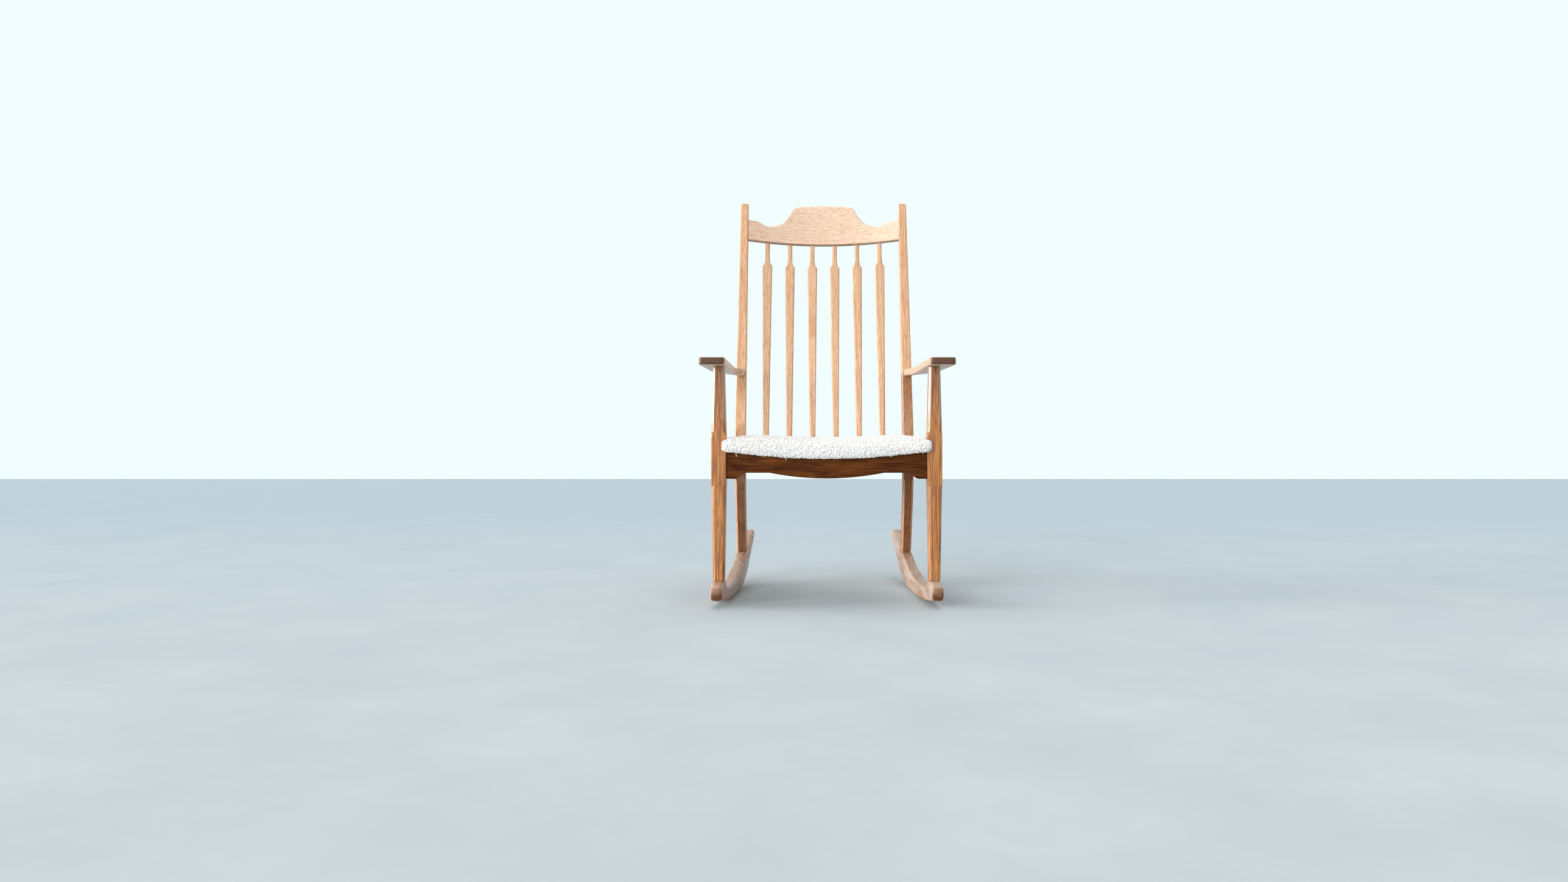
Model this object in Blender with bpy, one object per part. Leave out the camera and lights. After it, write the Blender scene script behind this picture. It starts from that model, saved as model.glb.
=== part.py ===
"""A high-backed oak rocking chair with six flat spindles and an upholstered seat.

Run it with blender --background --python part.py, or from Blender's text editor.
Units are metres, +Z is up, the floor is at Z = 0 and the sitter faces -Y.
Left and right are as seen from the front: left pieces stand at -X.
"""

import math

import bmesh
import bpy
from mathutils import Vector

# Fit: the gap left at every shoulder, seat and mortise wall
CLEARANCE = 0.0003

# How far a hole's cutter reaches out past the face it opens
CUT_PAST = 0.006

# Front legs: one stick from rocker to arm, square where the seat rails join it
LEG_SPACING = 0.508
LEG_Y = -0.2681
LEG_SQUARE = 0.035
LEG_TOP = 0.027
LEG_FOOT = 0.0275
LEG_SQUARE_LOW = 0.2984
LEG_SQUARE_HIGH = 0.397
LEG_CHAMFER = 0.0055
LEG_EASE = 0.0008
CHAMFER_RUN_OUT = 0.014

# Rear posts: one stick from rocker to top, upright at the rails, raked below and leaning above
SEAT_DEPTH = 0.3545
POST_INNER_SPACING = 0.4242
POST_HEIGHT = 1.0614
POST_SEAT_WIDTH = 0.0282
POST_TOP_WIDTH = 0.0214
POST_FOOT_WIDTH = 0.0268
POST_SEAT_DEPTH = 0.042
POST_TOP_DEPTH = 0.022
POST_FOOT_DEPTH = 0.028
POST_UPRIGHT_LOW = 0.296
POST_UPRIGHT_HIGH = 0.378
POST_BEND = 0.060
POST_RAKE = 0.060
POST_LEAN = 0.158
POST_CHAMFER = 0.0045
POST_EASE = 0.0018
POST_CROWN = 0.004

# Rockers: an underside of two radii either side of a short flat, and a straight tail
ROCKER_WIDTH = 0.030
ROCKER_FRONT_REACH = 0.0525
ROCKER_TAIL_REACH = 0.180
ROCKER_REST = 0.243
ROCKER_FLAT = 0.060
ROCKER_FRONT_RADIUS = 1.88
ROCKER_REAR_RADIUS = 0.47
ROCKER_TAIL_ANGLE = math.radians(26.0)
ROCKER_TIP = 0.027
ROCKER_WAIST = 0.031
ROCKER_NOSE = 0.036
ROCKER_EDGE = 0.003
FRONT_LAND = 0.0613
REAR_LAND = 0.0848
LAND_MARGIN = 0.003
SWEEP_LENGTH = 0.062
NOSE_RADIUS = 0.011

# Upper curve of a rocker: its fall at the waist, and curve handles as shares of each run
WAIST_SLOPE = 0.018
WAIST_HANDLE_REAR = 0.40
WAIST_HANDLE_FRONT = 0.55
REAR_LAND_HANDLE = 0.30
REAR_LAND_FALL = 0.75
FRONT_LAND_HANDLE = 0.10
FRONT_LAND_FALL = 0.65

# Round tenons of the legs and posts
FOOT_TENON_RADIUS = 0.008
FOOT_TENON_LENGTH = 0.020
ARM_TENON_RADIUS = 0.007
ARM_TENON_LENGTH = 0.011

# Arms: flat paddles that narrow to a tab against the post
ARM_HEIGHT = 0.566
ARM_THICKNESS = 0.018
ARM_FRONT_REACH = 0.0725
ARM_INBOARD = 0.0187
ARM_FRONT_WIDTH = 0.062
ARM_MID_WIDTH = 0.0547
ARM_MID_REACH = 0.195
ARM_SWEEP_REACH = 0.305
ARM_TAB_WIDTH = 0.0215
ARM_CORNER = 0.010
ARM_EDGE = 0.004
ARM_DOWEL_RADIUS = 0.004
ARM_DOWEL_LENGTH = 0.036

# Side curves of an arm: sideways offsets, and curve handles as shares of each run
ARM_MID_LEAN = 0.003
ARM_TAB_FLARE = 0.006
ARM_MID_HANDLE = 0.45
ARM_TAB_HANDLE = 0.30
ARM_SWEEP_HANDLE = 0.45

# Seat rails
RAIL_TOP = 0.362
RAIL_EASE = 0.0015
FRONT_RAIL_THICKNESS = 0.022
FRONT_RAIL_SETBACK = 0.004
FRONT_RAIL_END_DEPTH = 0.0606
FRONT_RAIL_MID_DEPTH = 0.0463
FRONT_RAIL_BELLY_DEPTH = 0.0597
FRONT_RAIL_BRACKET = 0.0205
FRONT_RAIL_BRACKET_RISE = 0.024
FRONT_RAIL_BELLY = 0.135
SIDE_RAIL_THICKNESS = 0.020
SIDE_RAIL_DEPTH = 0.052
REAR_RAIL_THICKNESS = 0.022
REAR_RAIL_SETBACK = 0.008
REAR_RAIL_RISE = 0.023
REAR_RAIL_DEPTH = 0.059
RAIL_TENON_THICKNESS = 0.010
RAIL_TENON_SHOULDER = 0.008
FRONT_TENON_LENGTH = 0.018
SIDE_TENON_LENGTH = 0.011
REAR_TENON_LENGTH = 0.016

# Crest rail: bowed to the rear, raised in the middle between two scoops
CREST_DROP = 0.1084
CREST_SAG = 0.0105
CREST_THICKNESS = 0.019
CREST_BOW = 0.028
CREST_EDGE = 0.004
CREST_SHOULDER_RISE = 0.062
CREST_SCOOP_RISE = 0.0442
CREST_PEAK_RISE = 0.108
CREST_SHOULDER_LENGTH = 0.018
CREST_SCOOP_X = 0.1525
CREST_PEAK_X = 0.074
CREST_TENON_LENGTH = 0.013
CREST_TENON_THICKNESS = 0.010
CREST_TENON_SHOULDER = 0.008

# Upper edge of the crest: falls below its peak and shoulder, and curve handles as shares of each run
CREST_PEAK_FALL = 0.0035
CREST_BROW_FALL = 0.014
CREST_BROW_RUN = 0.18
CREST_PEAK_HANDLE = 0.10
CREST_BROW_HANDLE = 0.145
CREST_FALL_HANDLE = 0.33
CREST_FALL_STEEPNESS = 0.36
CREST_SCOOP_HANDLE = 0.56
CREST_RISE_HANDLE = 0.47
CREST_SHOULDER_HANDLE = 0.61
CREST_SHOULDER_FALL = 0.002

# Spindles
SPINDLE_COUNT = 6
SPINDLE_SPACING = 0.063
SPINDLE_NECK_WIDTH = 0.0128
SPINDLE_SHOULDER_WIDTH = 0.0268
SPINDLE_FOOT_WIDTH = 0.0152
SPINDLE_THICKNESS = 0.0115
SPINDLE_NECK_LENGTH = 0.045
SPINDLE_FLARE_LENGTH = 0.023
SPINDLE_EASE = 0.0025
SPINDLE_TENON_RADIUS = 0.0042
SPINDLE_TOP_TENON = 0.016
SPINDLE_FOOT_TENON = 0.018

# Upholstered seat: cloth drawn over foam and a plywood board
COVER_THICKNESS = 0.003
COVER_TURN_UNDER = 0.012
SEAT_EAR = 0.0108
SEAT_REAR_INSET = 0.0023
SEAT_OVERHANG = 0.012
SEAT_REAR_GAP = 0.001
SEAT_THICKNESS = 0.0442
SEAT_DROOP = 0.0155
SEAT_DROOP_END = 0.63
SEAT_DRAW_IN = 0.007
SEAT_BULGE = 0.40
SEAT_CROWN_REACH = 0.15
SEAT_CROWN_POWER = 4.0
SEAT_UNDER_REACH = 0.040
SEAT_CORNER = 0.014
SEAT_CORNER_GROWTH = 0.5
SEAT_CORNER_STEPS = 5
SEAT_EDGE_STEPS = 6
SEAT_FIT = 0.0006
BOARD_THICKNESS = 0.012

# Corner blocks and the screws that hold the seat board down
BLOCK_LEG = 0.075
BLOCK_CUT = 0.024
BLOCK_DROP = 0.004
BLOCK_THICKNESS = 0.028
SCREW_RADIUS = 0.002
SCREW_HEAD_RADIUS = 0.0042
SCREW_HEAD_HEIGHT = 0.0026
SCREW_BITE = 0.008
SCREW_POINT = 0.3

ACROSS = Vector((1.0, 0.0, 0.0))
BACK = Vector((0.0, 1.0, 0.0))
UP = Vector((0.0, 0.0, 1.0))
RING = 16
CURVE_STEPS = 8

LEG_X = LEG_SPACING / 2
POST_INNER_X = POST_INNER_SPACING / 2
POST_Y = LEG_Y + SEAT_DEPTH
CREST_LOW = POST_HEIGHT - CREST_DROP
SEAT_FRONT_WIDTH = LEG_SPACING - LEG_SQUARE + 2 * SEAT_EAR
SEAT_REAR_WIDTH = POST_INNER_SPACING + 2 * (POST_SEAT_WIDTH - SEAT_REAR_INSET)
FRONT_RAIL_Y = LEG_Y - LEG_SQUARE / 2 + FRONT_RAIL_SETBACK + FRONT_RAIL_THICKNESS / 2
REAR_RAIL_Y = POST_Y + REAR_RAIL_SETBACK + REAR_RAIL_THICKNESS / 2
FRONT_RAIL_END_LOW = RAIL_TOP - FRONT_RAIL_END_DEPTH
FRONT_RAIL_MID_LOW = RAIL_TOP - FRONT_RAIL_MID_DEPTH
FRONT_RAIL_BELLY_LOW = RAIL_TOP - FRONT_RAIL_BELLY_DEPTH
SIDE_RAIL_LOW = RAIL_TOP - SIDE_RAIL_DEPTH
REAR_RAIL_TOP = RAIL_TOP + REAR_RAIL_RISE
REAR_RAIL_LOW = REAR_RAIL_TOP - REAR_RAIL_DEPTH
SEAT_FRONT_Y = LEG_Y - LEG_SQUARE / 2 - SEAT_OVERHANG
SEAT_REAR_Y = POST_Y + REAR_RAIL_SETBACK - SEAT_REAR_GAP
SEAT_BASE = RAIL_TOP + CLEARANCE
BOARD_BASE = SEAT_BASE + COVER_THICKNESS + CLEARANCE
FOAM_BASE = BOARD_BASE + BOARD_THICKNESS + CLEARANCE


def clear_scene():
    """Remove every object of the open scene."""
    for item in list(bpy.data.objects):
        bpy.data.objects.remove(item, do_unlink=True)


def material(name, colour, roughness, metallic=0.0):
    """A Principled material with one plain colour."""
    made = bpy.data.materials.new(name)
    made.use_nodes = True
    shader = made.node_tree.nodes["Principled BSDF"]
    shader.inputs["Base Color"].default_value = (*colour, 1.0)
    shader.inputs["Roughness"].default_value = roughness
    shader.inputs["Metallic"].default_value = metallic
    made.diffuse_color = (*colour, 1.0)
    return made


def oak():
    """Oiled oak of the frame."""
    return material("oiled_oak", (0.44, 0.225, 0.09), 0.42)


def worn_oak():
    """Paler, bleached oak of the rockers."""
    return material("worn_oak", (0.50, 0.34, 0.22), 0.6)


def light_oak():
    """Lighter quarter-sawn oak of the crest and spindles."""
    return material("light_oak", (0.50, 0.27, 0.12), 0.42)


def boucle():
    """White looped wool cloth."""
    return material("boucle_cloth", (0.80, 0.78, 0.73), 0.95)


def foam():
    """Cream upholstery foam."""
    return material("seat_foam", (0.78, 0.70, 0.50), 0.95)


def plywood():
    """Birch plywood."""
    return material("birch_plywood", (0.62, 0.45, 0.27), 0.6)


def beech():
    """Pale beech of blocks and dowels."""
    return material("beech", (0.56, 0.36, 0.22), 0.55)


def steel():
    """Zinc-plated steel of the screws."""
    return material("zinc_steel", (0.62, 0.62, 0.60), 0.35, 1.0)


def lerp(start, end, share):
    """The value a share of the way from start to end."""
    return start + (end - start) * share


def bezier(first, first_handle, last_handle, last, steps=CURVE_STEPS):
    """Points along a cubic curve in a plane, its first point left out."""
    points = []
    for step in range(1, steps + 1):
        t = step / steps
        weights = ((1 - t) ** 3, 3 * t * (1 - t) ** 2, 3 * t * t * (1 - t), t ** 3)
        corners = (first, first_handle, last_handle, last)
        points.append(tuple(sum(w * c[axis] for w, c in zip(weights, corners)) for axis in (0, 1)))
    return points


def arc(centre, radius, start, end, steps=4):
    """Points on an arc in a plane, from one angle in degrees to another."""
    angles = [math.radians(lerp(start, end, step / steps)) for step in range(steps + 1)]
    return [(centre[0] + radius * math.cos(a), centre[1] + radius * math.sin(a)) for a in angles]


def rectangle(width, depth, chamfer):
    """Sixteen points round a rectangle with cut corners, four on each side."""
    a = width / 2
    b = depth / 2
    run = [-1.0, -1.0 / 3.0, 1.0 / 3.0, 1.0]
    low = [(share * (a - chamfer), -b) for share in run]
    right = [(a, share * (b - chamfer)) for share in run]
    top = [(-share * (a - chamfer), b) for share in run]
    left = [(-a, -share * (b - chamfer)) for share in run]
    return low + right + top + left


def circle(radius):
    """Sixteen points round a circle, in step with those of rectangle."""
    angles = [math.radians(-90.0 + (step - 1.5) * 360.0 / RING) for step in range(RING)]
    return [(radius * math.cos(a), radius * math.sin(a)) for a in angles]


def grown(outline, amount):
    """A section made larger by an amount on every side."""
    return [(u + math.copysign(amount, u), v + math.copysign(amount, v)) for u, v in outline]


def ring(centre, outline, across=ACROSS, along=BACK):
    """A plane section placed at a centre."""
    return [centre + across * u + along * v for u, v in outline]


def bar(start, end, radius):
    """Two rings of a round bar between two points."""
    aim = (end - start).normalized()
    across = aim.cross(UP) if abs(aim.z) < 0.9 else aim.cross(BACK)
    across.normalize()
    along = aim.cross(across)
    return [ring(start, circle(radius), across, along), ring(end, circle(radius), across, along)]


def skin(bm, rings):
    """Add a closed body that passes through rings of equal length."""
    loops = [[bm.verts.new(point) for point in points] for points in rings]
    faces = []
    for lower, upper in zip(loops, loops[1:]):
        for index, vertex in enumerate(lower):
            after = (index + 1) % len(lower)
            faces.append(bm.faces.new((vertex, lower[after], upper[after], upper[index])))
    ends = (bm.faces.new(list(reversed(loops[0]))), bm.faces.new(loops[-1]))
    bmesh.ops.recalc_face_normals(bm, faces=faces + list(ends))
    return faces, ends


def put(name, bm, origin, finish=None, parent=None):
    """Make an object from world geometry, with its own origin."""
    bmesh.ops.translate(bm, verts=bm.verts, vec=-origin)
    mesh = bpy.data.meshes.new(name)
    bm.to_mesh(mesh)
    bm.free()
    item = bpy.data.objects.new(name, mesh)
    bpy.context.scene.collection.objects.link(item)
    item.location = origin
    item.parent = parent
    if finish:
        mesh.materials.append(finish)
    return item


def stick(name, rings, origin, finish, parent, smooth=False):
    """One closed body through rings, as a named piece."""
    bm = bmesh.new()
    skin(bm, rings)
    item = put(name, bm, origin, finish, parent)
    for polygon in item.data.polygons:
        polygon.use_smooth = smooth
    return item


def cutter_object(name, bodies, parent):
    """A hidden object of closed bodies, each given by its rings, for cutting with."""
    bm = bmesh.new()
    for rings in bodies:
        skin(bm, rings)
    cutter = put(name, bm, Vector(), None, parent)
    cutter.hide_render = True
    cutter.display_type = 'WIRE'
    return cutter


def subtract(item, cutter):
    """Cut one object out of another."""
    cut = item.modifiers.new(cutter.name, 'BOOLEAN')
    cut.operation = 'DIFFERENCE'
    cut.solver = 'EXACT'
    cut.object = cutter


def carve(item, bodies, parent):
    """Cut a set of closed bodies out of a piece."""
    subtract(item, cutter_object(item.name + "_cuts", bodies, parent))


def round_edges(item, radius, segments):
    """Round the edges that carry a bevel weight."""
    bevel = item.modifiers.new("rounded_edges", 'BEVEL')
    bevel.limit_method = 'WEIGHT'
    bevel.width = radius
    bevel.segments = segments


def weigh_rims(bm, ends, keep):
    """Give a bevel weight to the rims of two end faces, where keep says so."""
    layer = bm.edges.layers.float.new("bevel_weight_edge")
    for face in ends:
        for edge in face.edges:
            if keep(edge):
                edge[layer] = 1.0


def quarter(share):
    """A curved run-out: zero with a level start, then one."""
    share = min(max(share, 0.0), 1.0)
    return 1.0 - math.sqrt(1.0 - share * share)


def run_out(z, low, high):
    """Share of the full chamfer at a height, none between low and high."""
    return quarter(max(low - z, z - high) / CHAMFER_RUN_OUT)


def run_out_heights(low, high):
    """Heights at which a stopped chamfer needs a section."""
    steps = [CHAMFER_RUN_OUT * share for share in (1.0, 0.9, 0.7, 0.4, 0.0)]
    return [low - step for step in steps] + [high + step for step in reversed(steps)]


def leg_width(z):
    """Width of a front leg at a height."""
    if z < LEG_SQUARE_LOW:
        return lerp(LEG_FOOT, LEG_SQUARE, (z - FRONT_LAND) / (LEG_SQUARE_LOW - FRONT_LAND))
    if z > LEG_SQUARE_HIGH:
        return lerp(LEG_SQUARE, LEG_TOP, (z - LEG_SQUARE_HIGH) / (ARM_HEIGHT - LEG_SQUARE_HIGH))
    return LEG_SQUARE


def bend(distance, slope):
    """Offset of a face that bends from upright to a slope."""
    if distance <= 0.0:
        return 0.0
    if distance < POST_BEND:
        return slope * distance * distance / (2 * POST_BEND)
    return slope * (distance - POST_BEND / 2)


def post_slopes():
    """Lean above and rake below, each as a rise of Y over Z."""
    lean = POST_LEAN / (POST_HEIGHT - POST_UPRIGHT_HIGH - POST_BEND / 2)
    rake = POST_RAKE / (POST_UPRIGHT_LOW - REAR_LAND - POST_BEND / 2)
    return lean, rake


def post_front(z):
    """Y of a post's front face at a height."""
    lean, rake = post_slopes()
    return POST_Y + bend(z - POST_UPRIGHT_HIGH, lean) + bend(POST_UPRIGHT_LOW - z, rake)


def post_size(z):
    """Width and depth of a post at a height."""
    if z > POST_UPRIGHT_HIGH:
        share = (z - POST_UPRIGHT_HIGH) / (POST_HEIGHT - POST_UPRIGHT_HIGH)
        return lerp(POST_SEAT_WIDTH, POST_TOP_WIDTH, share), lerp(POST_SEAT_DEPTH, POST_TOP_DEPTH, share)
    share = max(0.0, (POST_UPRIGHT_LOW - z) / (POST_UPRIGHT_LOW - REAR_LAND))
    return lerp(POST_SEAT_WIDTH, POST_FOOT_WIDTH, share), lerp(POST_SEAT_DEPTH, POST_FOOT_DEPTH, share)


def post_centre(side, z):
    """Centre of a post's section at a height."""
    width, depth = post_size(z)
    return Vector((side * (POST_INNER_X + width / 2), post_front(z) + depth / 2, z))


def front_leg(name, side, finish, parent):
    """A leg with stopped chamfers and a round tenon at each end."""
    foot = FRONT_LAND + CLEARANCE
    head = ARM_HEIGHT - CLEARANCE
    heights = [foot] + run_out_heights(LEG_SQUARE_LOW, LEG_SQUARE_HIGH) + [head]
    axis = Vector((side * LEG_X, LEG_Y, 0.0))
    rings = [ring(axis + UP * (foot - FOOT_TENON_LENGTH), circle(FOOT_TENON_RADIUS)),
             ring(axis + UP * foot, circle(FOOT_TENON_RADIUS))]
    for z in heights:
        chamfer = lerp(LEG_EASE, LEG_CHAMFER, run_out(z, LEG_SQUARE_LOW, LEG_SQUARE_HIGH))
        rings.append(ring(axis + UP * z, rectangle(leg_width(z), leg_width(z), chamfer)))
    rings.append(ring(axis + UP * head, circle(ARM_TENON_RADIUS)))
    rings.append(ring(axis + UP * (head + ARM_TENON_LENGTH), circle(ARM_TENON_RADIUS)))
    leg = stick(name, rings, axis, finish, parent)
    carve(leg, [front_tenon(side, CLEARANCE), side_tenon(side, 0, CLEARANCE)], parent)
    return leg


def rear_post(name, side, finish, parent):
    """A post bent at the seat, chamfered below it, with a round tenon in the rocker."""
    foot = REAR_LAND + CLEARANCE
    bends = [POST_BEND * share for share in (0.0, 0.25, 0.5, 0.75, 1.0)]
    heights = [foot]
    heights += [POST_UPRIGHT_LOW - rise for rise in reversed(bends)]
    heights += [POST_UPRIGHT_LOW - CHAMFER_RUN_OUT * share for share in (0.9, 0.7, 0.4)]
    heights += [POST_UPRIGHT_HIGH + rise for rise in bends]
    heights += [POST_HEIGHT - POST_CROWN]
    base = post_centre(side, foot)
    rings = [ring(base - UP * FOOT_TENON_LENGTH, circle(FOOT_TENON_RADIUS)),
             ring(base, circle(FOOT_TENON_RADIUS))]
    for z in sorted(set(heights)):
        chamfer = POST_EASE
        if z < POST_UPRIGHT_LOW:
            chamfer = lerp(POST_EASE, POST_CHAMFER, run_out(z, POST_UPRIGHT_LOW, POST_UPRIGHT_HIGH))
        rings.append(ring(post_centre(side, z), rectangle(*post_size(z), chamfer)))
    for share in (0.5, 1.0):
        inset = POST_CROWN * quarter(share)
        z = POST_HEIGHT - POST_CROWN * (1.0 - share)
        width, depth = post_size(z)
        section = rectangle(width - 2 * inset, depth - 2 * inset, POST_EASE)
        rings.append(ring(post_centre(side, z), section))
    post = stick(name, rings, Vector((base.x, base.y, 0.0)), finish, parent)
    cuts = [rear_tenon(side, CLEARANCE), side_tenon(side, 1, CLEARANCE),
            crest_tenon(side, CLEARANCE), arm_dowel_bar(side, CLEARANCE)]
    carve(post, cuts, parent)
    return post


def rocker_underside(u):
    """Height of the underside at a distance behind the front leg's centre."""
    ahead = ROCKER_REST - ROCKER_FLAT / 2 - u
    behind = u - ROCKER_REST - ROCKER_FLAT / 2
    if ahead > 0.0:
        return ROCKER_FRONT_RADIUS - math.sqrt(ROCKER_FRONT_RADIUS ** 2 - ahead ** 2)
    if behind <= 0.0:
        return 0.0
    turn = ROCKER_REAR_RADIUS * math.sin(ROCKER_TAIL_ANGLE)
    if behind < turn:
        return ROCKER_REAR_RADIUS - math.sqrt(ROCKER_REAR_RADIUS ** 2 - behind ** 2)
    rise = ROCKER_REAR_RADIUS * (1.0 - math.cos(ROCKER_TAIL_ANGLE))
    return rise + (behind - turn) * math.tan(ROCKER_TAIL_ANGLE)


def rocker_outline(foot):
    """Side outline of a rocker, with the post's foot centred at a distance from the leg."""
    front = -ROCKER_FRONT_REACH
    tail = foot + ROCKER_TAIL_REACH
    turn = ROCKER_REST + ROCKER_FLAT / 2 + ROCKER_REAR_RADIUS * math.sin(ROCKER_TAIL_ANGLE)
    flat = (ROCKER_REST - ROCKER_FLAT / 2, ROCKER_REST + ROCKER_FLAT / 2)
    start = front + NOSE_RADIUS
    reach = [lerp(start, flat[0], step / CURVE_STEPS) for step in range(1, CURVE_STEPS)]
    reach += [flat[0]]
    reach += [lerp(flat[1], turn, step / CURVE_STEPS) for step in range(CURVE_STEPS + 1)]
    nose_low = rocker_underside(start)
    points = arc((start, nose_low + NOSE_RADIUS), NOSE_RADIUS, 180.0, 270.0)
    points += [(u, rocker_underside(u)) for u in reach]
    radius = ROCKER_TIP / 2
    slope = math.degrees(ROCKER_TAIL_ANGLE)
    tip = tail - radius
    centre = (tip, rocker_underside(tip) + radius / math.cos(ROCKER_TAIL_ANGLE))
    points += arc(centre, radius, slope - 90.0, slope + 80.0, 6)
    half_land = POST_FOOT_DEPTH / 2 + LAND_MARGIN
    points += [(foot + half_land, REAR_LAND), (foot - half_land, REAR_LAND)]
    boss = LEG_FOOT / 2 + LAND_MARGIN
    waist_u = boss + SWEEP_LENGTH
    waist = (waist_u, rocker_underside(waist_u) + ROCKER_WAIST)
    reach_back = foot - half_land - waist_u
    rear_handle = reach_back * WAIST_HANDLE_REAR
    front_handle = SWEEP_LENGTH * WAIST_HANDLE_FRONT
    land_edge = foot - half_land
    land_handle = (land_edge - reach_back * REAR_LAND_HANDLE, lerp(REAR_LAND, waist[1], REAR_LAND_FALL))
    points += bezier((land_edge, REAR_LAND), land_handle,
                     (waist_u + rear_handle, waist[1] - WAIST_SLOPE * rear_handle), waist, 10)
    points += bezier(waist, (waist_u - front_handle, waist[1] + WAIST_SLOPE * front_handle),
                     (boss + SWEEP_LENGTH * FRONT_LAND_HANDLE, lerp(FRONT_LAND, waist[1], FRONT_LAND_FALL)),
                     (boss, FRONT_LAND), 6)
    points.append((-boss, FRONT_LAND))
    nose_top = nose_low + ROCKER_NOSE
    points += arc((start, nose_top - NOSE_RADIUS), NOSE_RADIUS, 75.0, 180.0)
    return points


def rocker(name, side, finish, parent):
    """A rocker sawn from a plank, set in line with the leg and the post above it."""
    leg = Vector((side * LEG_X, LEG_Y, 0.0))
    foot = post_centre(side, REAR_LAND)
    aim = Vector((foot.x - leg.x, foot.y - leg.y, 0.0))
    outline = rocker_outline(aim.length)
    half = ROCKER_WIDTH / 2
    faces = [[Vector((offset, u, z)) for u, z in outline] for offset in (-half, half)]
    bm = bmesh.new()
    _, ends = skin(bm, faces)
    weigh_rims(bm, ends, lambda edge: True)
    item = put(name, bm, Vector(), finish, parent)
    item.location = leg
    item.rotation_euler.z = math.atan2(-aim.x, aim.y)
    round_edges(item, ROCKER_EDGE, 2)
    depth = FOOT_TENON_LENGTH + CLEARANCE
    radius = FOOT_TENON_RADIUS + CLEARANCE
    cuts = []
    for top in (leg + UP * FRONT_LAND, Vector((foot.x, foot.y, REAR_LAND))):
        cuts.append(bar(top - UP * depth, top + UP * depth, radius))
    carve(item, cuts, parent)
    return item


def arm_tab():
    """Inner and outer X of an arm's tab, on the right side, flush with the post outside."""
    width, _ = post_size(ARM_HEIGHT)
    outer = POST_INNER_X + width
    return outer - ARM_TAB_WIDTH, outer


def arm_outline(z):
    """Plan of the right arm at a height, ending on the post's sloping face."""
    end = post_front(z) - CLEARANCE
    front = LEG_Y - ARM_FRONT_REACH
    inner = LEG_X - ARM_INBOARD
    outer = inner + ARM_FRONT_WIDTH
    tab_inner, tab_outer = arm_tab()
    waist = (inner + ARM_MID_WIDTH, LEG_Y + ARM_MID_REACH)
    sweep = LEG_Y + ARM_SWEEP_REACH
    tab = post_front(ARM_HEIGHT) - ARM_TAB_WIDTH
    points = arc((inner + ARM_CORNER, front + ARM_CORNER), ARM_CORNER, 180.0, 270.0)
    points += arc((outer - ARM_CORNER, front + ARM_CORNER), ARM_CORNER, 270.0, 360.0)
    points.append(waist)
    reach = tab - waist[1]
    points += bezier(waist, (waist[0] - ARM_MID_LEAN, waist[1] + reach * ARM_MID_HANDLE),
                     (tab_outer + ARM_TAB_FLARE, tab - reach * ARM_TAB_HANDLE), (tab_outer, tab))
    points += [(tab_outer, end), (tab_inner, end)]
    points.append((tab_inner, tab))
    reach = tab - sweep
    points += bezier((tab_inner, tab), (tab_inner, tab - reach * ARM_SWEEP_HANDLE),
                     (inner, sweep + reach * ARM_SWEEP_HANDLE), (inner, sweep), 6)
    return points


def arm(name, side, finish, parent):
    """A flat arm with rounded edges, drilled for the leg's tenon and the post's dowel."""
    levels = (ARM_HEIGHT, ARM_HEIGHT + ARM_THICKNESS)
    rings = [[Vector((side * x, y, z)) for x, y in arm_outline(z)] for z in levels]
    bm = bmesh.new()
    _, ends = skin(bm, rings)
    end_y = post_front(ARM_HEIGHT) - 2 * CLEARANCE
    weigh_rims(bm, ends, lambda edge: not all(vertex.co.y > end_y for vertex in edge.verts))
    item = put(name, bm, Vector((side * LEG_X, LEG_Y, ARM_HEIGHT)), finish, parent)
    round_edges(item, ARM_EDGE, 3)
    leg = Vector((side * LEG_X, LEG_Y, ARM_HEIGHT))
    socket = bar(leg - UP * ARM_TENON_LENGTH, leg + UP * (ARM_TENON_LENGTH + CLEARANCE),
                 ARM_TENON_RADIUS + CLEARANCE)
    carve(item, [socket, arm_dowel_bar(side, CLEARANCE)], parent)
    return item


def arm_dowel_bar(side, grow=0.0):
    """Rings of the dowel between an arm's tab and its post."""
    z = ARM_HEIGHT + ARM_THICKNESS / 2
    x = side * sum(arm_tab()) / 2
    middle = Vector((x, post_front(z), z))
    half = BACK * (ARM_DOWEL_LENGTH / 2 + grow)
    return bar(middle - half, middle + half, ARM_DOWEL_RADIUS + grow)


def front_rail_low(x):
    """Height of the front rail's shaped lower edge."""
    end = LEG_X - LEG_SQUARE / 2
    inboard = end - abs(x) - FRONT_RAIL_BRACKET
    if inboard < 0.0:
        return FRONT_RAIL_END_LOW
    if inboard < FRONT_RAIL_BRACKET_RISE:
        swing = 0.5 - 0.5 * math.cos(math.pi * inboard / FRONT_RAIL_BRACKET_RISE)
        return lerp(FRONT_RAIL_END_LOW, FRONT_RAIL_MID_LOW, swing)
    if abs(x) > FRONT_RAIL_BELLY:
        return FRONT_RAIL_MID_LOW
    swing = 1.0 - (x / FRONT_RAIL_BELLY) ** 2
    return lerp(FRONT_RAIL_MID_LOW, FRONT_RAIL_BELLY_LOW, swing)


def front_rail_stations():
    """X of every section of the front rail, from left to right."""
    end = LEG_X - LEG_SQUARE / 2
    rise = end - FRONT_RAIL_BRACKET
    half = [FRONT_RAIL_BELLY * step / 6 for step in range(7)]
    half += [rise - FRONT_RAIL_BRACKET_RISE * (1.0 - step / 5) for step in range(6)]
    half += [end - CLEARANCE]
    return [-x for x in reversed(half[1:])] + half


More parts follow.
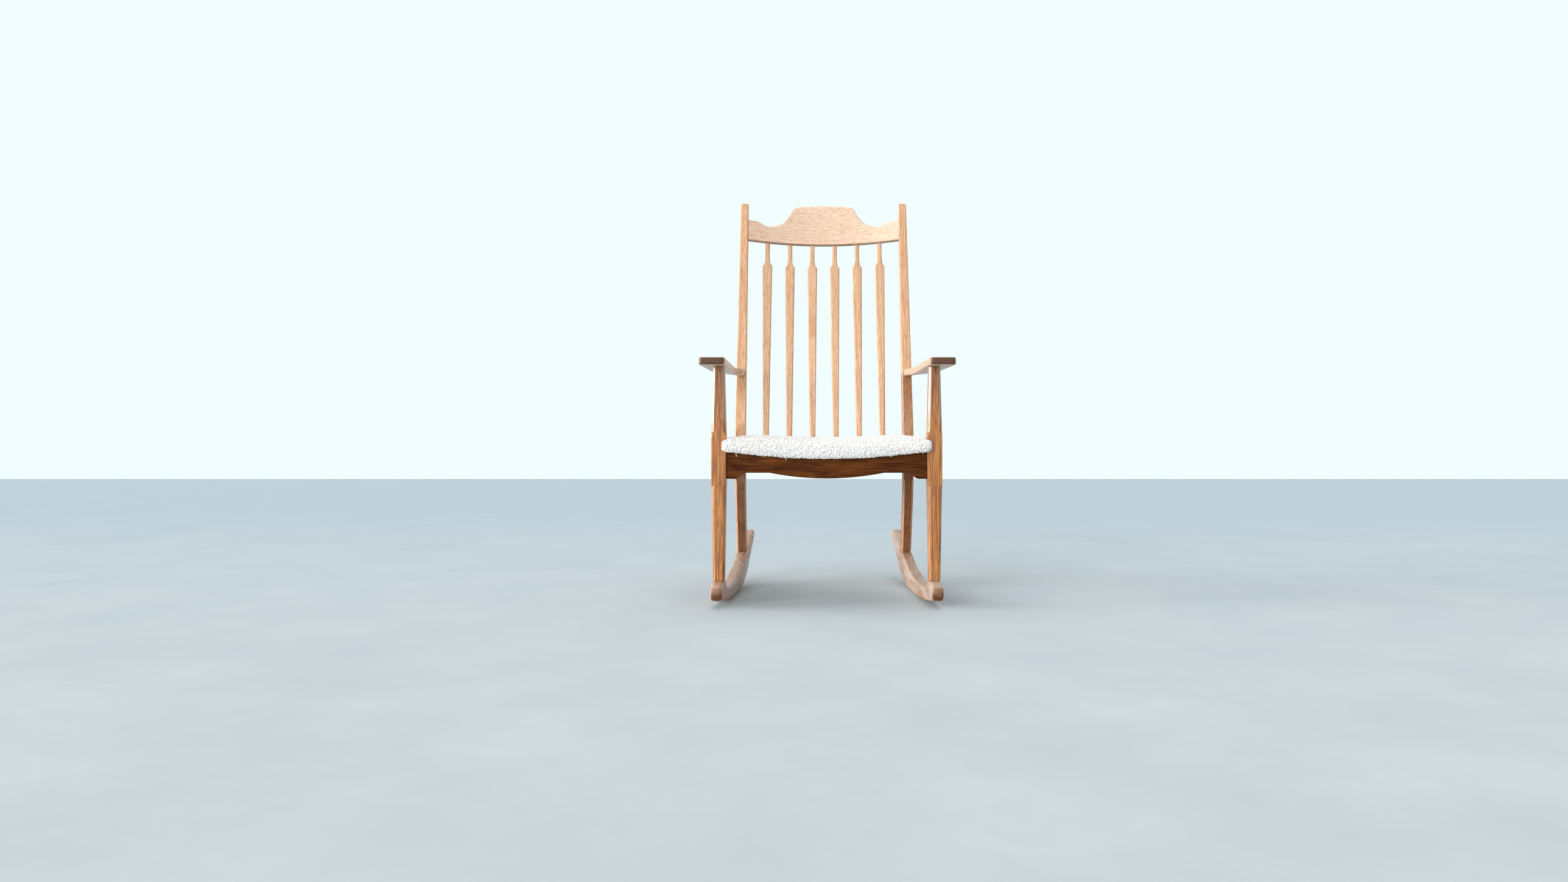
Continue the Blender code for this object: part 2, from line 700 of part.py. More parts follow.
def rail_tenon(start, end, low, high, across, grow):
    """Rings of a rail's tenon, or of its mortise when grown."""
    aim = (end - start).normalized()
    section = rectangle(RAIL_TENON_THICKNESS, high - low - 2 * RAIL_TENON_SHOULDER, RAIL_EASE)
    section = grown(section, grow)
    middle = UP * (low + high) / 2
    return [ring(point + middle, section, across, UP) for point in (start - aim * grow, end + aim * grow)]


def front_tenon(side, grow=0.0):
    """The front rail's tenon in a front leg."""
    end = LEG_X - LEG_SQUARE / 2 - CLEARANCE
    start = Vector((side * end, FRONT_RAIL_Y, 0.0))
    tip = start + ACROSS * side * FRONT_TENON_LENGTH
    return rail_tenon(start, tip, FRONT_RAIL_END_LOW, RAIL_TOP, BACK, grow)


def side_rail_point(side, y):
    """Centre of a side rail in plan, on the line from leg to post."""
    post = post_centre(side, POST_UPRIGHT_LOW)
    share = (y - LEG_Y) / (post.y - LEG_Y)
    return Vector((lerp(side * LEG_X, post.x, share), y, 0.0))


def side_rail_ends():
    """Y of a side rail's two shoulders."""
    return LEG_Y + LEG_SQUARE / 2 + CLEARANCE, POST_Y - CLEARANCE


def side_tenon(side, end, grow=0.0):
    """A side rail's tenon, in the leg at end 0 and in the post at end 1."""
    shoulder = side_rail_ends()[end]
    step = (-1.0, 1.0)[end] * SIDE_TENON_LENGTH
    return rail_tenon(side_rail_point(side, shoulder), side_rail_point(side, shoulder + step),
                      SIDE_RAIL_LOW, RAIL_TOP, ACROSS, grow)


def rear_tenon(side, grow=0.0):
    """The rear rail's tenon in a post."""
    start = Vector((side * (POST_INNER_X - CLEARANCE), REAR_RAIL_Y, 0.0))
    tip = start + ACROSS * side * REAR_TENON_LENGTH
    return rail_tenon(start, tip, REAR_RAIL_LOW, REAR_RAIL_TOP, BACK, grow)


def front_rail(finish, parent):
    """The front rail, with its end brackets and belly."""
    left = front_tenon(-1)
    rings = [left[1], left[0]]
    for x in front_rail_stations():
        low = front_rail_low(x)
        section = rectangle(FRONT_RAIL_THICKNESS, RAIL_TOP - low, RAIL_EASE)
        rings.append(ring(Vector((x, FRONT_RAIL_Y, (low + RAIL_TOP) / 2)), section, BACK, UP))
    rings += front_tenon(1)
    return stick("front_seat_rail", rings, Vector((0.0, FRONT_RAIL_Y, RAIL_TOP)), finish, parent)


def side_rail(name, side, finish, parent):
    """A straight side rail between a front leg and a post."""
    height = RAIL_TOP - SIDE_RAIL_LOW
    middle = UP * (RAIL_TOP + SIDE_RAIL_LOW) / 2
    section = rectangle(SIDE_RAIL_THICKNESS, height, RAIL_EASE)
    front = side_tenon(side, 0)
    rings = [front[1], front[0]]
    rings += [ring(side_rail_point(side, y) + middle, section, ACROSS, UP) for y in side_rail_ends()]
    rings += side_tenon(side, 1)
    return stick(name, rings, side_rail_point(side, side_rail_ends()[0]), finish, parent)


def rear_rail(finish, parent):
    """The rear rail, mortised along its top for the spindles."""
    height = REAR_RAIL_TOP - REAR_RAIL_LOW
    middle = UP * (REAR_RAIL_TOP + REAR_RAIL_LOW) / 2
    section = rectangle(REAR_RAIL_THICKNESS, height, RAIL_EASE)
    end = POST_INNER_X - CLEARANCE
    left = rear_tenon(-1)
    rings = [left[1], left[0]]
    rings += [ring(Vector((x, REAR_RAIL_Y, 0.0)) + middle, section, BACK, UP) for x in (-end, end)]
    rings += rear_tenon(1)
    item = stick("rear_seat_rail", rings, Vector((0.0, REAR_RAIL_Y, REAR_RAIL_LOW)), finish, parent)
    carve(item, [spindle_tenon(index, 0, CLEARANCE) for index in range(SPINDLE_COUNT)], parent)
    return item


def crest_centre(x, z):
    """Middle of the crest's thickness: on the posts at its ends, bowed to the rear between."""
    _, depth = post_size(CREST_LOW)
    lean, _ = post_slopes()
    bow = CREST_BOW * (1.0 - (x / POST_INNER_X) ** 2)
    return Vector((x, post_front(CREST_LOW) + depth / 2 + bow + (z - CREST_LOW) * lean, z))


def crest_low(x):
    """Height of the crest's lower edge, which hangs lowest in the middle."""
    return CREST_LOW - CREST_SAG * (1.0 - (x / POST_INNER_X) ** 2)


def crest_slope(x):
    """Slope of the crest's lower edge along X."""
    return 2 * CREST_SAG * x / POST_INNER_X ** 2


def crest_profile():
    """X and height of the crest's upper edge, from its middle to its right end."""
    end = POST_INNER_X - CLEARANCE
    shoulder = end - CREST_SHOULDER_LENGTH
    scoop = CREST_SCOOP_RISE
    shoulder_rise = CREST_SHOULDER_RISE - CREST_SHOULDER_FALL
    span = CREST_SCOOP_X - CREST_PEAK_X
    peak = (CREST_PEAK_X, CREST_PEAK_RISE - CREST_PEAK_FALL)
    brow = (CREST_PEAK_X + span * CREST_BROW_RUN, CREST_PEAK_RISE - CREST_BROW_FALL)
    points = [(0.0, CREST_PEAK_RISE), (peak[0] / 2, lerp(CREST_PEAK_RISE, peak[1], 0.25)), peak]
    points += bezier(peak, (CREST_PEAK_X + span * CREST_PEAK_HANDLE, lerp(peak[1], brow[1], 0.1)),
                     (CREST_PEAK_X + span * CREST_BROW_HANDLE, lerp(peak[1], brow[1], 0.33)), brow, 4)
    steep = lerp(scoop, CREST_PEAK_RISE, CREST_FALL_STEEPNESS)
    points += bezier(brow, (CREST_PEAK_X + span * CREST_FALL_HANDLE, steep),
                     (CREST_PEAK_X + span * CREST_SCOOP_HANDLE, scoop), (CREST_SCOOP_X, scoop), 7)
    reach = shoulder - CREST_SCOOP_X
    points += bezier((CREST_SCOOP_X, scoop), (CREST_SCOOP_X + reach * CREST_RISE_HANDLE, scoop),
                     (CREST_SCOOP_X + reach * CREST_SHOULDER_HANDLE, shoulder_rise - CREST_SHOULDER_FALL / 2),
                     (shoulder, shoulder_rise), 6)
    points.append((end, CREST_SHOULDER_RISE))
    return points


def crest_tenon(side, grow=0.0):
    """The crest's tenon in a post, following the lean."""
    lean, _ = post_slopes()
    height = CREST_SHOULDER_RISE - 2 * CREST_TENON_SHOULDER
    section = grown(rectangle(CREST_TENON_THICKNESS, height, RAIL_EASE), grow)
    middle = crest_centre(POST_INNER_X - CLEARANCE, CREST_LOW + CREST_SHOULDER_RISE / 2)
    start = Vector((side * (middle.x - grow), middle.y, middle.z))
    tip = start + ACROSS * side * (CREST_TENON_LENGTH + 2 * grow)
    return [ring(point, section, BACK, UP + BACK * lean) for point in (start, tip)]


def crest_rail(finish, parent):
    """The bowed crest with its raised middle and two scoops, mortised below for the spindles."""
    lean, _ = post_slopes()
    half = crest_profile()
    stations = [(-x, rise) for x, rise in reversed(half[1:])] + half
    left = crest_tenon(-1)
    rings = [left[1], left[0]]
    for x, rise in stations:
        low, high = crest_low(x), CREST_LOW + rise
        section = rectangle(CREST_THICKNESS, high - low, CREST_EDGE)
        rings.append(ring(crest_centre(x, (low + high) / 2), section, BACK, UP + BACK * lean))
    rings += crest_tenon(1)
    item = stick("crest_rail", rings, crest_centre(0.0, CREST_LOW), finish, parent)
    carve(item, [spindle_tenon(index, 1, CLEARANCE) for index in range(SPINDLE_COUNT)], parent)
    return item


def spindle_x(index):
    """X of a spindle, counted from the left."""
    return (index - (SPINDLE_COUNT - 1) / 2) * SPINDLE_SPACING


def spindle_axis(index):
    """Shoulders of a spindle on the rear rail and under the crest."""
    x = spindle_x(index)
    foot = Vector((x, REAR_RAIL_Y, REAR_RAIL_TOP + CLEARANCE))
    return foot, crest_centre(x, crest_low(x) - CLEARANCE)


def spindle_tenon(index, end, grow=0.0):
    """A spindle's round tenon, in the rail at end 0 and in the crest at end 1."""
    foot, head = spindle_axis(index)
    aim = (head - foot).normalized()
    length = (SPINDLE_FOOT_TENON, SPINDLE_TOP_TENON)[end] + grow
    past = CUT_PAST if grow else 0.0
    if end == 0:
        return bar(foot + aim * past, foot - aim * length, SPINDLE_TENON_RADIUS + grow)
    return bar(head - aim * past, head + aim * length, SPINDLE_TENON_RADIUS + grow)


def spindle_width(distance, length):
    """Width of a spindle at a distance up from its foot."""
    shoulder = length - SPINDLE_NECK_LENGTH - SPINDLE_FLARE_LENGTH
    if distance <= shoulder:
        return lerp(SPINDLE_FOOT_WIDTH, SPINDLE_SHOULDER_WIDTH, distance / shoulder)
    share = min(1.0, (distance - shoulder) / SPINDLE_FLARE_LENGTH)
    sweep = math.sqrt(1.0 - (1.0 - share) ** 2)
    return lerp(SPINDLE_SHOULDER_WIDTH, SPINDLE_NECK_WIDTH, sweep)


def spindle(index, finish, parent):
    """A flat spindle that widens from the seat to a shoulder, then necks in under the crest."""
    foot, head = spindle_axis(index)
    length = (head - foot).length
    slope = (head.y - foot.y) / (head.z - foot.z)
    level = BACK + UP * slope
    under_crest = ACROSS + UP * crest_slope(spindle_x(index))
    shoulder = length - SPINDLE_NECK_LENGTH - SPINDLE_FLARE_LENGTH
    stations = [shoulder * 0.5, shoulder]
    stations += [shoulder + SPINDLE_FLARE_LENGTH * share for share in (0.03, 0.12, 0.3, 0.6, 1.0)]

    def section(distance, along, across=ACROSS):
        """The spindle's section at a distance, square to its axis or along the face that it meets."""
        width = spindle_width(distance, length)
        return ring(UP * distance, rectangle(width, SPINDLE_THICKNESS, SPINDLE_EASE), across, along)

    tenon = circle(SPINDLE_TENON_RADIUS)
    rings = [ring(UP * -SPINDLE_FOOT_TENON, tenon), ring(Vector(), tenon, ACROSS, level), section(0.0, level)]
    rings += [section(distance, BACK) for distance in stations]
    rings += [section(length, level, under_crest), ring(UP * length, tenon, under_crest, level)]
    rings.append(ring(UP * (length + SPINDLE_TOP_TENON), tenon))
    item = stick("spindle_%d" % (index + 1), rings, Vector(), finish, parent)
    item.location = foot
    item.rotation_euler.x = -math.atan(slope)
    return item


def seat_lip():
    """How far the front lip reaches back, to just in front of the rail."""
    return SEAT_OVERHANG + FRONT_RAIL_SETBACK - CLEARANCE


def seat_plan(inset):
    """Plan of the seat, drawn in by an inset: a tapered block with round corners."""
    front = SEAT_FRONT_Y + inset
    rear = SEAT_REAR_Y - inset
    radius = SEAT_CORNER + SEAT_CORNER_GROWTH * max(0.0, inset - seat_lip())
    radius = min(radius, 0.45 * (rear - front))
    corners = ((1, rear - radius, 0.0), (-1, rear - radius, 90.0),
               (-1, front + radius, 180.0), (1, front + radius, 270.0))
    loop = []
    for side, y, turn in corners:
        loop += [(side, point) for point in arc((0.0, y), radius, turn, turn + 90.0, SEAT_CORNER_STEPS)]
    points = []
    for side, (reach, y) in loop:
        share = (y - SEAT_FRONT_Y) / (SEAT_REAR_Y - SEAT_FRONT_Y)
        half = lerp(SEAT_FRONT_WIDTH, SEAT_REAR_WIDTH, share) / 2 - inset
        points.append((side * (half - radius) + reach, y))
    return with_edge_points(points)


def with_edge_points(points):
    """The same outline with evenly spaced points on the long edge after each corner arc."""
    made = []
    for index, (x, y) in enumerate(points):
        made.append((x, y))
        if (index + 1) % (SEAT_CORNER_STEPS + 1) == 0:
            after = points[(index + 1) % len(points)]
            shares = [step / (SEAT_EDGE_STEPS + 1) for step in range(1, SEAT_EDGE_STEPS + 1)]
            made += [(lerp(x, after[0], share), lerp(y, after[1], share)) for share in shares]
    return made


def seat_profile():
    """Height above the base, inset and share of the droop at each level of the pad."""
    lip = seat_lip()
    levels = [(0.0, SEAT_UNDER_REACH, 0.0), (0.0, lip, 0.0), (0.0, lip - 2 * CLEARANCE, 1.0)]
    for step in range(3):
        rise = step / 3
        inset = SEAT_DRAW_IN * quarter(1.0 - rise)
        levels.append((SEAT_BULGE * rise, inset, 1.0 - SEAT_BULGE * rise / SEAT_DROOP_END))
    for step in range(7):
        turn = math.radians(90.0 * step / 6)
        share = lerp(SEAT_BULGE, 1.0, math.sin(turn) ** (2 / SEAT_CROWN_POWER))
        inset = SEAT_CROWN_REACH * (1.0 - abs(math.cos(turn)) ** (2 / SEAT_CROWN_POWER))
        levels.append((share, inset, max(0.0, 1.0 - share / SEAT_DROOP_END)))
    return [(share * SEAT_THICKNESS, inset, droop) for share, inset, droop in levels]


def seat_droop(x, y):
    """How far the front lip hangs in front of the rail: most in the middle, none at the ends."""
    if y > SEAT_FRONT_Y + seat_lip() + CLEARANCE / 2:
        return 0.0
    end = SEAT_FRONT_WIDTH / 2 - seat_lip() - SEAT_CORNER
    return SEAT_DROOP * max(0.0, 1.0 - (x / end) ** 2)


def pad_rings(inset, drop, base, hang):
    """Rings of a pad inside the cover's outer form, drawn in, lowered and cut off at a base."""
    rings = []
    for height, level_inset, droop in seat_profile():
        level = max(SEAT_BASE + height - drop, base)
        points = []
        for x, y in seat_plan(level_inset + inset):
            points.append(Vector((x, y, level - hang * droop * seat_droop(x, y))))
        rings.append(points)
    return rings


def seat_notches(grow):
    """Boxes round the front legs and the posts, cut from the seat's corners."""
    levels = (SEAT_BASE - SEAT_THICKNESS, SEAT_BASE + 2 * SEAT_THICKNESS)
    half = LEG_SQUARE / 2
    spans = ((LEG_X - half, LEG_Y - half, LEG_Y + half),
             (POST_INNER_X, POST_Y, POST_Y + POST_SEAT_DEPTH))
    gap = SEAT_FIT + grow
    boxes = []
    for side in (-1, 1):
        for inner, front, rear in spans:
            x_reach = (side * (inner - gap), side * SEAT_FRONT_WIDTH)
            outline = [(x_reach[0], front - gap), (x_reach[1], front - gap),
                       (x_reach[1], rear + gap), (x_reach[0], rear + gap)]
            boxes.append([[Vector((x, y, z)) for x, y in outline] for z in levels])
    return boxes


def seat_cover(finish, parent):
    """The cloth: a shell over pad and board, turned under the board and open below."""
    cover = stick("seat_cover", pad_rings(0.0, 0.0, SEAT_BASE, 1.0),
                  Vector((0.0, LEG_Y, SEAT_BASE)), finish, parent, True)
    floor = SEAT_BASE + COVER_THICKNESS
    cavity = cutter_object("seat_cavity", [pad_rings(COVER_THICKNESS, COVER_THICKNESS, floor, 0.0)], parent)
    carve(cavity, seat_notches(COVER_THICKNESS), parent)
    opening = [Vector((x, y, 0.0)) for x, y in seat_plan(COVER_THICKNESS + COVER_TURN_UNDER)]
    levels = (SEAT_BASE - SEAT_THICKNESS, SEAT_BASE + 2 * COVER_THICKNESS)
    mouth = [[point + UP * z for point in opening] for z in levels]
    carve(cover, seat_notches(0.0), parent)
    subtract(cover, cavity)
    subtract(cover, cutter_object("seat_mouth", [mouth], parent))
    return cover


def seat_foam(finish, parent):
    """The foam pad that fills the cover above the board."""
    inset = COVER_THICKNESS + CLEARANCE
    rings = pad_rings(inset, inset, FOAM_BASE, 0.0)
    item = stick("seat_foam", rings, Vector((0.0, LEG_Y, FOAM_BASE)), finish, parent, True)
    carve(item, seat_notches(inset), parent)
    return item


def seat_board(finish, parent):
    """The plywood board under the foam, notched for the legs and drilled for the screws."""
    inset = SEAT_DRAW_IN + COVER_THICKNESS + CLEARANCE
    levels = (BOARD_BASE, BOARD_BASE + BOARD_THICKNESS)
    rings = [[Vector((x, y, z)) for x, y in seat_plan(inset)] for z in levels]
    item = stick("seat_board", rings, Vector((0.0, LEG_Y, BOARD_BASE)), finish, parent)
    holes = [screw_hole(side, end) for side in (-1, 1) for end in (0, 1)]
    carve(item, seat_notches(COVER_THICKNESS + CLEARANCE) + holes, parent)
    return item


def block_outline(side, end):
    """Plan of a corner block against a cross rail and a side rail, its inner corner cut off."""
    inward = (1.0, -1.0)[end]
    front_face = FRONT_RAIL_Y + FRONT_RAIL_THICKNESS / 2 + CLEARANCE
    rear_face = REAR_RAIL_Y - REAR_RAIL_THICKNESS / 2 - CLEARANCE
    face = (front_face, rear_face)[end]

    def beside(y):
        """Inner side of the side rail."""
        return side_rail_point(side, y).x - side * (SIDE_RAIL_THICKNESS / 2 + CLEARANCE)

    corner = beside(face)
    return [(corner - side * BLOCK_CUT, face), (corner - side * BLOCK_LEG, face),
            (beside(face + inward * BLOCK_LEG), face + inward * BLOCK_LEG),
            (beside(face + inward * BLOCK_CUT), face + inward * BLOCK_CUT)]


def screw_point(side, end):
    """Plan position of a corner block's screw, midway along the block and inside the turned cloth."""
    weights = (1 / 12, 5 / 12, 5 / 12, 1 / 12)
    outline = block_outline(side, end)
    return Vector((sum(w * x for w, (x, _) in zip(weights, outline)),
                   sum(w * y for w, (_, y) in zip(weights, outline)), 0.0))


def block_levels():
    """Lower and upper face of the corner blocks."""
    high = RAIL_TOP - BLOCK_DROP
    return high - BLOCK_THICKNESS, high


def screw_hole(side, end):
    """Clearance hole of a screw, through its block and into the board."""
    low, _ = block_levels()
    point = screw_point(side, end)
    return bar(point + UP * (low - BLOCK_THICKNESS), point + UP * (BOARD_BASE + SCREW_BITE + CLEARANCE),
               SCREW_RADIUS + CLEARANCE)


def corner_block(name, side, end, finish, parent):
    """A block glued in a corner of the seat frame."""
    outline = block_outline(side, end)
    rings = [[Vector((x, y, z)) for x, y in outline] for z in block_levels()]
    point = screw_point(side, end)
    item = stick(name, rings, point + UP * block_levels()[0], finish, parent)
    carve(item, [screw_hole(side, end)], parent)
    return item


def seat_screw(name, side, end, finish, parent):
    """A round-headed wood screw, from under its block into the board."""
    point = screw_point(side, end)
    seat = block_levels()[0] - CLEARANCE
    head = [(0.0, 0.45), (0.35, 0.85), (1.0, 1.0)]
    rings = [ring(point + UP * (seat - SCREW_HEAD_HEIGHT * (1 - rise)), circle(SCREW_HEAD_RADIUS * share))
             for rise, share in head]
    tip = BOARD_BASE + SCREW_BITE
    rings.append(ring(point + UP * seat, circle(SCREW_RADIUS)))
    rings.append(ring(point + UP * (tip - SCREW_RADIUS), circle(SCREW_RADIUS)))
    rings.append(ring(point + UP * tip, circle(SCREW_RADIUS * SCREW_POINT)))
    return stick(name, rings, point + UP * seat, finish, parent, True)


def build_frame(root, dowel_beech):
    """Everything in wood that stands or carries."""
    frame_oak = oak()
    pale_oak = light_oak()
    rocker_oak = worn_oak()
    for side, word in ((-1, "left"), (1, "right")):
        rocker(word + "_rocker", side, rocker_oak, root)
        front_leg(word + "_front_leg", side, frame_oak, root)
        rear_post(word + "_rear_post", side, frame_oak, root)
        arm(word + "_arm", side, frame_oak, root)
        side_rail(word + "_side_rail", side, frame_oak, root)
        middle = arm_dowel_bar(side)
        stick(word + "_arm_dowel", middle, (middle[0][0] + middle[1][0]) / 2, dowel_beech, root, True)
    front_rail(frame_oak, root)
    rear_rail(frame_oak, root)
    crest_rail(pale_oak, root)
    for index in range(SPINDLE_COUNT):
        spindle(index, pale_oak, root)


def build_seat(root, block_beech):
    """The upholstered seat and what holds it down."""
    screw_steel = steel()
    seat_cover(boucle(), root)
    seat_foam(foam(), root)
    seat_board(plywood(), root)
    for side, word in ((-1, "left"), (1, "right")):
        for end, place in ((0, "front"), (1, "rear")):
            name = "%s_%s" % (place, word)
            corner_block(name + "_corner_block", side, end, block_beech, root)
            seat_screw(name + "_seat_screw", side, end, screw_steel, root)


def main():
    """Build the chair under one empty."""
    clear_scene()
    root = bpy.data.objects.new("rocking_chair", None)
    bpy.context.scene.collection.objects.link(root)
    pale_beech = beech()
    build_frame(root, pale_beech)
    build_seat(root, pale_beech)


main()
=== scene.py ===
"""Looks of the oak rocking chair with a looped wool seat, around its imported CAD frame.

Every length is in metres, in the CAD frame: +Z is up, the floor is at Z = 0 and the sitter faces -Y.
"""

import logging
import math
import random
from dataclasses import dataclass, field, replace
from enum import Enum
from typing import Any, Iterator

import bmesh
import bpy
import numpy as np
from mathutils import Euler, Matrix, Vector, noise


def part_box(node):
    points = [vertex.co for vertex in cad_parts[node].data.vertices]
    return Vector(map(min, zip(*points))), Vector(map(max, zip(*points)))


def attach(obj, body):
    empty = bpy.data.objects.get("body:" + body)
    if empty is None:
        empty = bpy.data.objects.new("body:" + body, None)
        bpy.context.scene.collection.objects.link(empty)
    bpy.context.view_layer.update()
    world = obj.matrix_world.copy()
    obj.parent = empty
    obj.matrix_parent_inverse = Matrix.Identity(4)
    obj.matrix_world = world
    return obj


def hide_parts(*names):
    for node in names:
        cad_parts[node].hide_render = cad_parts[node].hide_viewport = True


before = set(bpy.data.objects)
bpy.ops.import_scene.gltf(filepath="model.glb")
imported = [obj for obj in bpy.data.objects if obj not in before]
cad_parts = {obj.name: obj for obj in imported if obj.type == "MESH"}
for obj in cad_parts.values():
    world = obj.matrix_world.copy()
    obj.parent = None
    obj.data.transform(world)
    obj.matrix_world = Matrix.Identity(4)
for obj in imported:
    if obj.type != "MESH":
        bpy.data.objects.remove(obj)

Tree = bpy.types.NodeTree
Node = bpy.types.Node
Socket = bpy.types.NodeSocket
Material = bpy.types.Material
Mesh = bpy.types.Mesh
Item = bpy.types.Object
Pair = tuple[float, float]

LOG = logging.getLogger("rocking_chair")
BODY = "root"
MILLIMETRE = 0.001
SEWING_GAP = 1e-6
TINY = 1e-9


def linear(hex_colour: str) -> tuple[float, float, float, float]:
    """Turn an sRGB hex colour into linear RGBA.

    Args:
        hex_colour: six hex digits after a hash sign.

    Returns:
        Linear red, green and blue, with an alpha of one.
    """
    shares = [int(hex_colour[start:start + 2], 16) / 255 for start in (1, 3, 5)]
    values = [c / 12.92 if c <= 0.04045 else ((c + 0.055) / 1.055) ** 2.4 for c in shares]
    return values[0], values[1], values[2], 1.0


def feed(node: Node, inputs: dict[Any, Any]) -> None:
    """Set or link a node's inputs.

    Args:
        node: the node.
        inputs: socket name or number to a value, a socket, or a node whose first output in use feeds it.
    """
    for name, value in inputs.items():
        if isinstance(value, Node):
            value = next(socket for socket in value.outputs if socket.enabled)
        if isinstance(value, Socket):
            node.id_data.links.new(value, node.inputs[name])
        else:
            node.inputs[name].default_value = value


def add(tree: Tree, kind: str, inputs: dict[Any, Any] | None = None, **settings: Any) -> Node:
    """Add a node with its settings and links.

    Inputs 0 to 4 of a MapRange are its value, its old range and its new range. Inputs 0, 6 and 7 of a
    colour Mix are its share and its two colours.

    Args:
        tree: the shader, world or geometry tree.
        kind: the node's type name, without ShaderNode where it starts with that.
        inputs: what feeds its inputs.
        settings: the node's own properties.

    Returns:
        The new node.
    """
    node = tree.nodes.new(kind if "Node" in kind else "ShaderNode" + kind)
    for name, value in settings.items():
        setattr(node, name, value)
    feed(node, inputs or {})
    return node


def new_material(name: str) -> tuple[Material, Tree, Node]:
    """Start a node material.

    Args:
        name: the material's name.

    Returns:
        The material, its tree and its Principled shader.
    """
    made = bpy.data.materials.new(name)
    made.use_nodes = True
    return made, made.node_tree, made.node_tree.nodes["Principled BSDF"]


class Grain(Enum):
    """Direction in which a piece's wood fibres run, as the turn that stands them upright."""

    UPRIGHT = (0.0, 0.0, 0.0)
    LEANING = (math.radians(13.5), 0.0, 0.0)
    ACROSS = (0.0, math.radians(-90.0), 0.0)
    BACKWARD = (math.radians(90.0), 0.0, 0.0)


@dataclass(frozen=True)
class Oak:
    """Ring-porous oak, planed and oiled: growth rings, open pores along the fibres, darker end grain.

    Sizes in millimetres lie across the fibres, and a mark's length is in its own widths. Real pores are about
    0.3 mm wide, too fine to show in the render, so pores and streaks are drawn three to five times as coarse.
    A bend is a height and the slope that starts there. A shade stop is a height and the painted shade's share
    there.
    """

    name: str
    light: str
    mid: str
    dark: str
    pore: str
    end: str
    roughness: float
    specular: float = 0.5
    ring_mm: float = 5.5
    ring_depth: float = 0.6
    pith: float = 0.11
    pith_turn: float | None = None
    streak_mm: float = 7.0
    streak_half: float = 0.20
    pore_mm: float = 1.5
    pore_length: float = 22.0
    pore_depth: float = 0.8
    pore_edge: float = 0.055
    end_from: float = 0.4
    end_to: float = 0.75
    end_contrast: float = 0.6
    bow: float = 0.0
    bends: tuple[Pair, ...] = ()
    # Painted shade on faces that look down.
    under: str = ""
    wear: float = 0.0
    wear_colour: str = "#c9b9af"
    # Painted shade between the shade stops, and the share of it kept off the chamfers.
    shaded: str = ""
    shade_stops: tuple[Pair, ...] = ()
    lit_chamfers: float = 0.0
    # Painted highlight on the chamfers above a height.
    highlight_share: float = 0.0
    highlight_colour: str = "#b4a19b"
    highlight_low: float = 0.425
    highlight_high: float = 0.45
    soil: str = ""
    soil_low: float = 0.045
    soil_high: float = 0.061

    def material(self, piece: str, grain: Grain) -> Material:
        """Make this oak for one piece, cut from its own place in the board.

        Args:
            piece: the piece's name, which also places the cut.
            grain: the direction of the fibres.

        Returns:
            The material.
        """
        return OakCut(self, piece, grain).material()


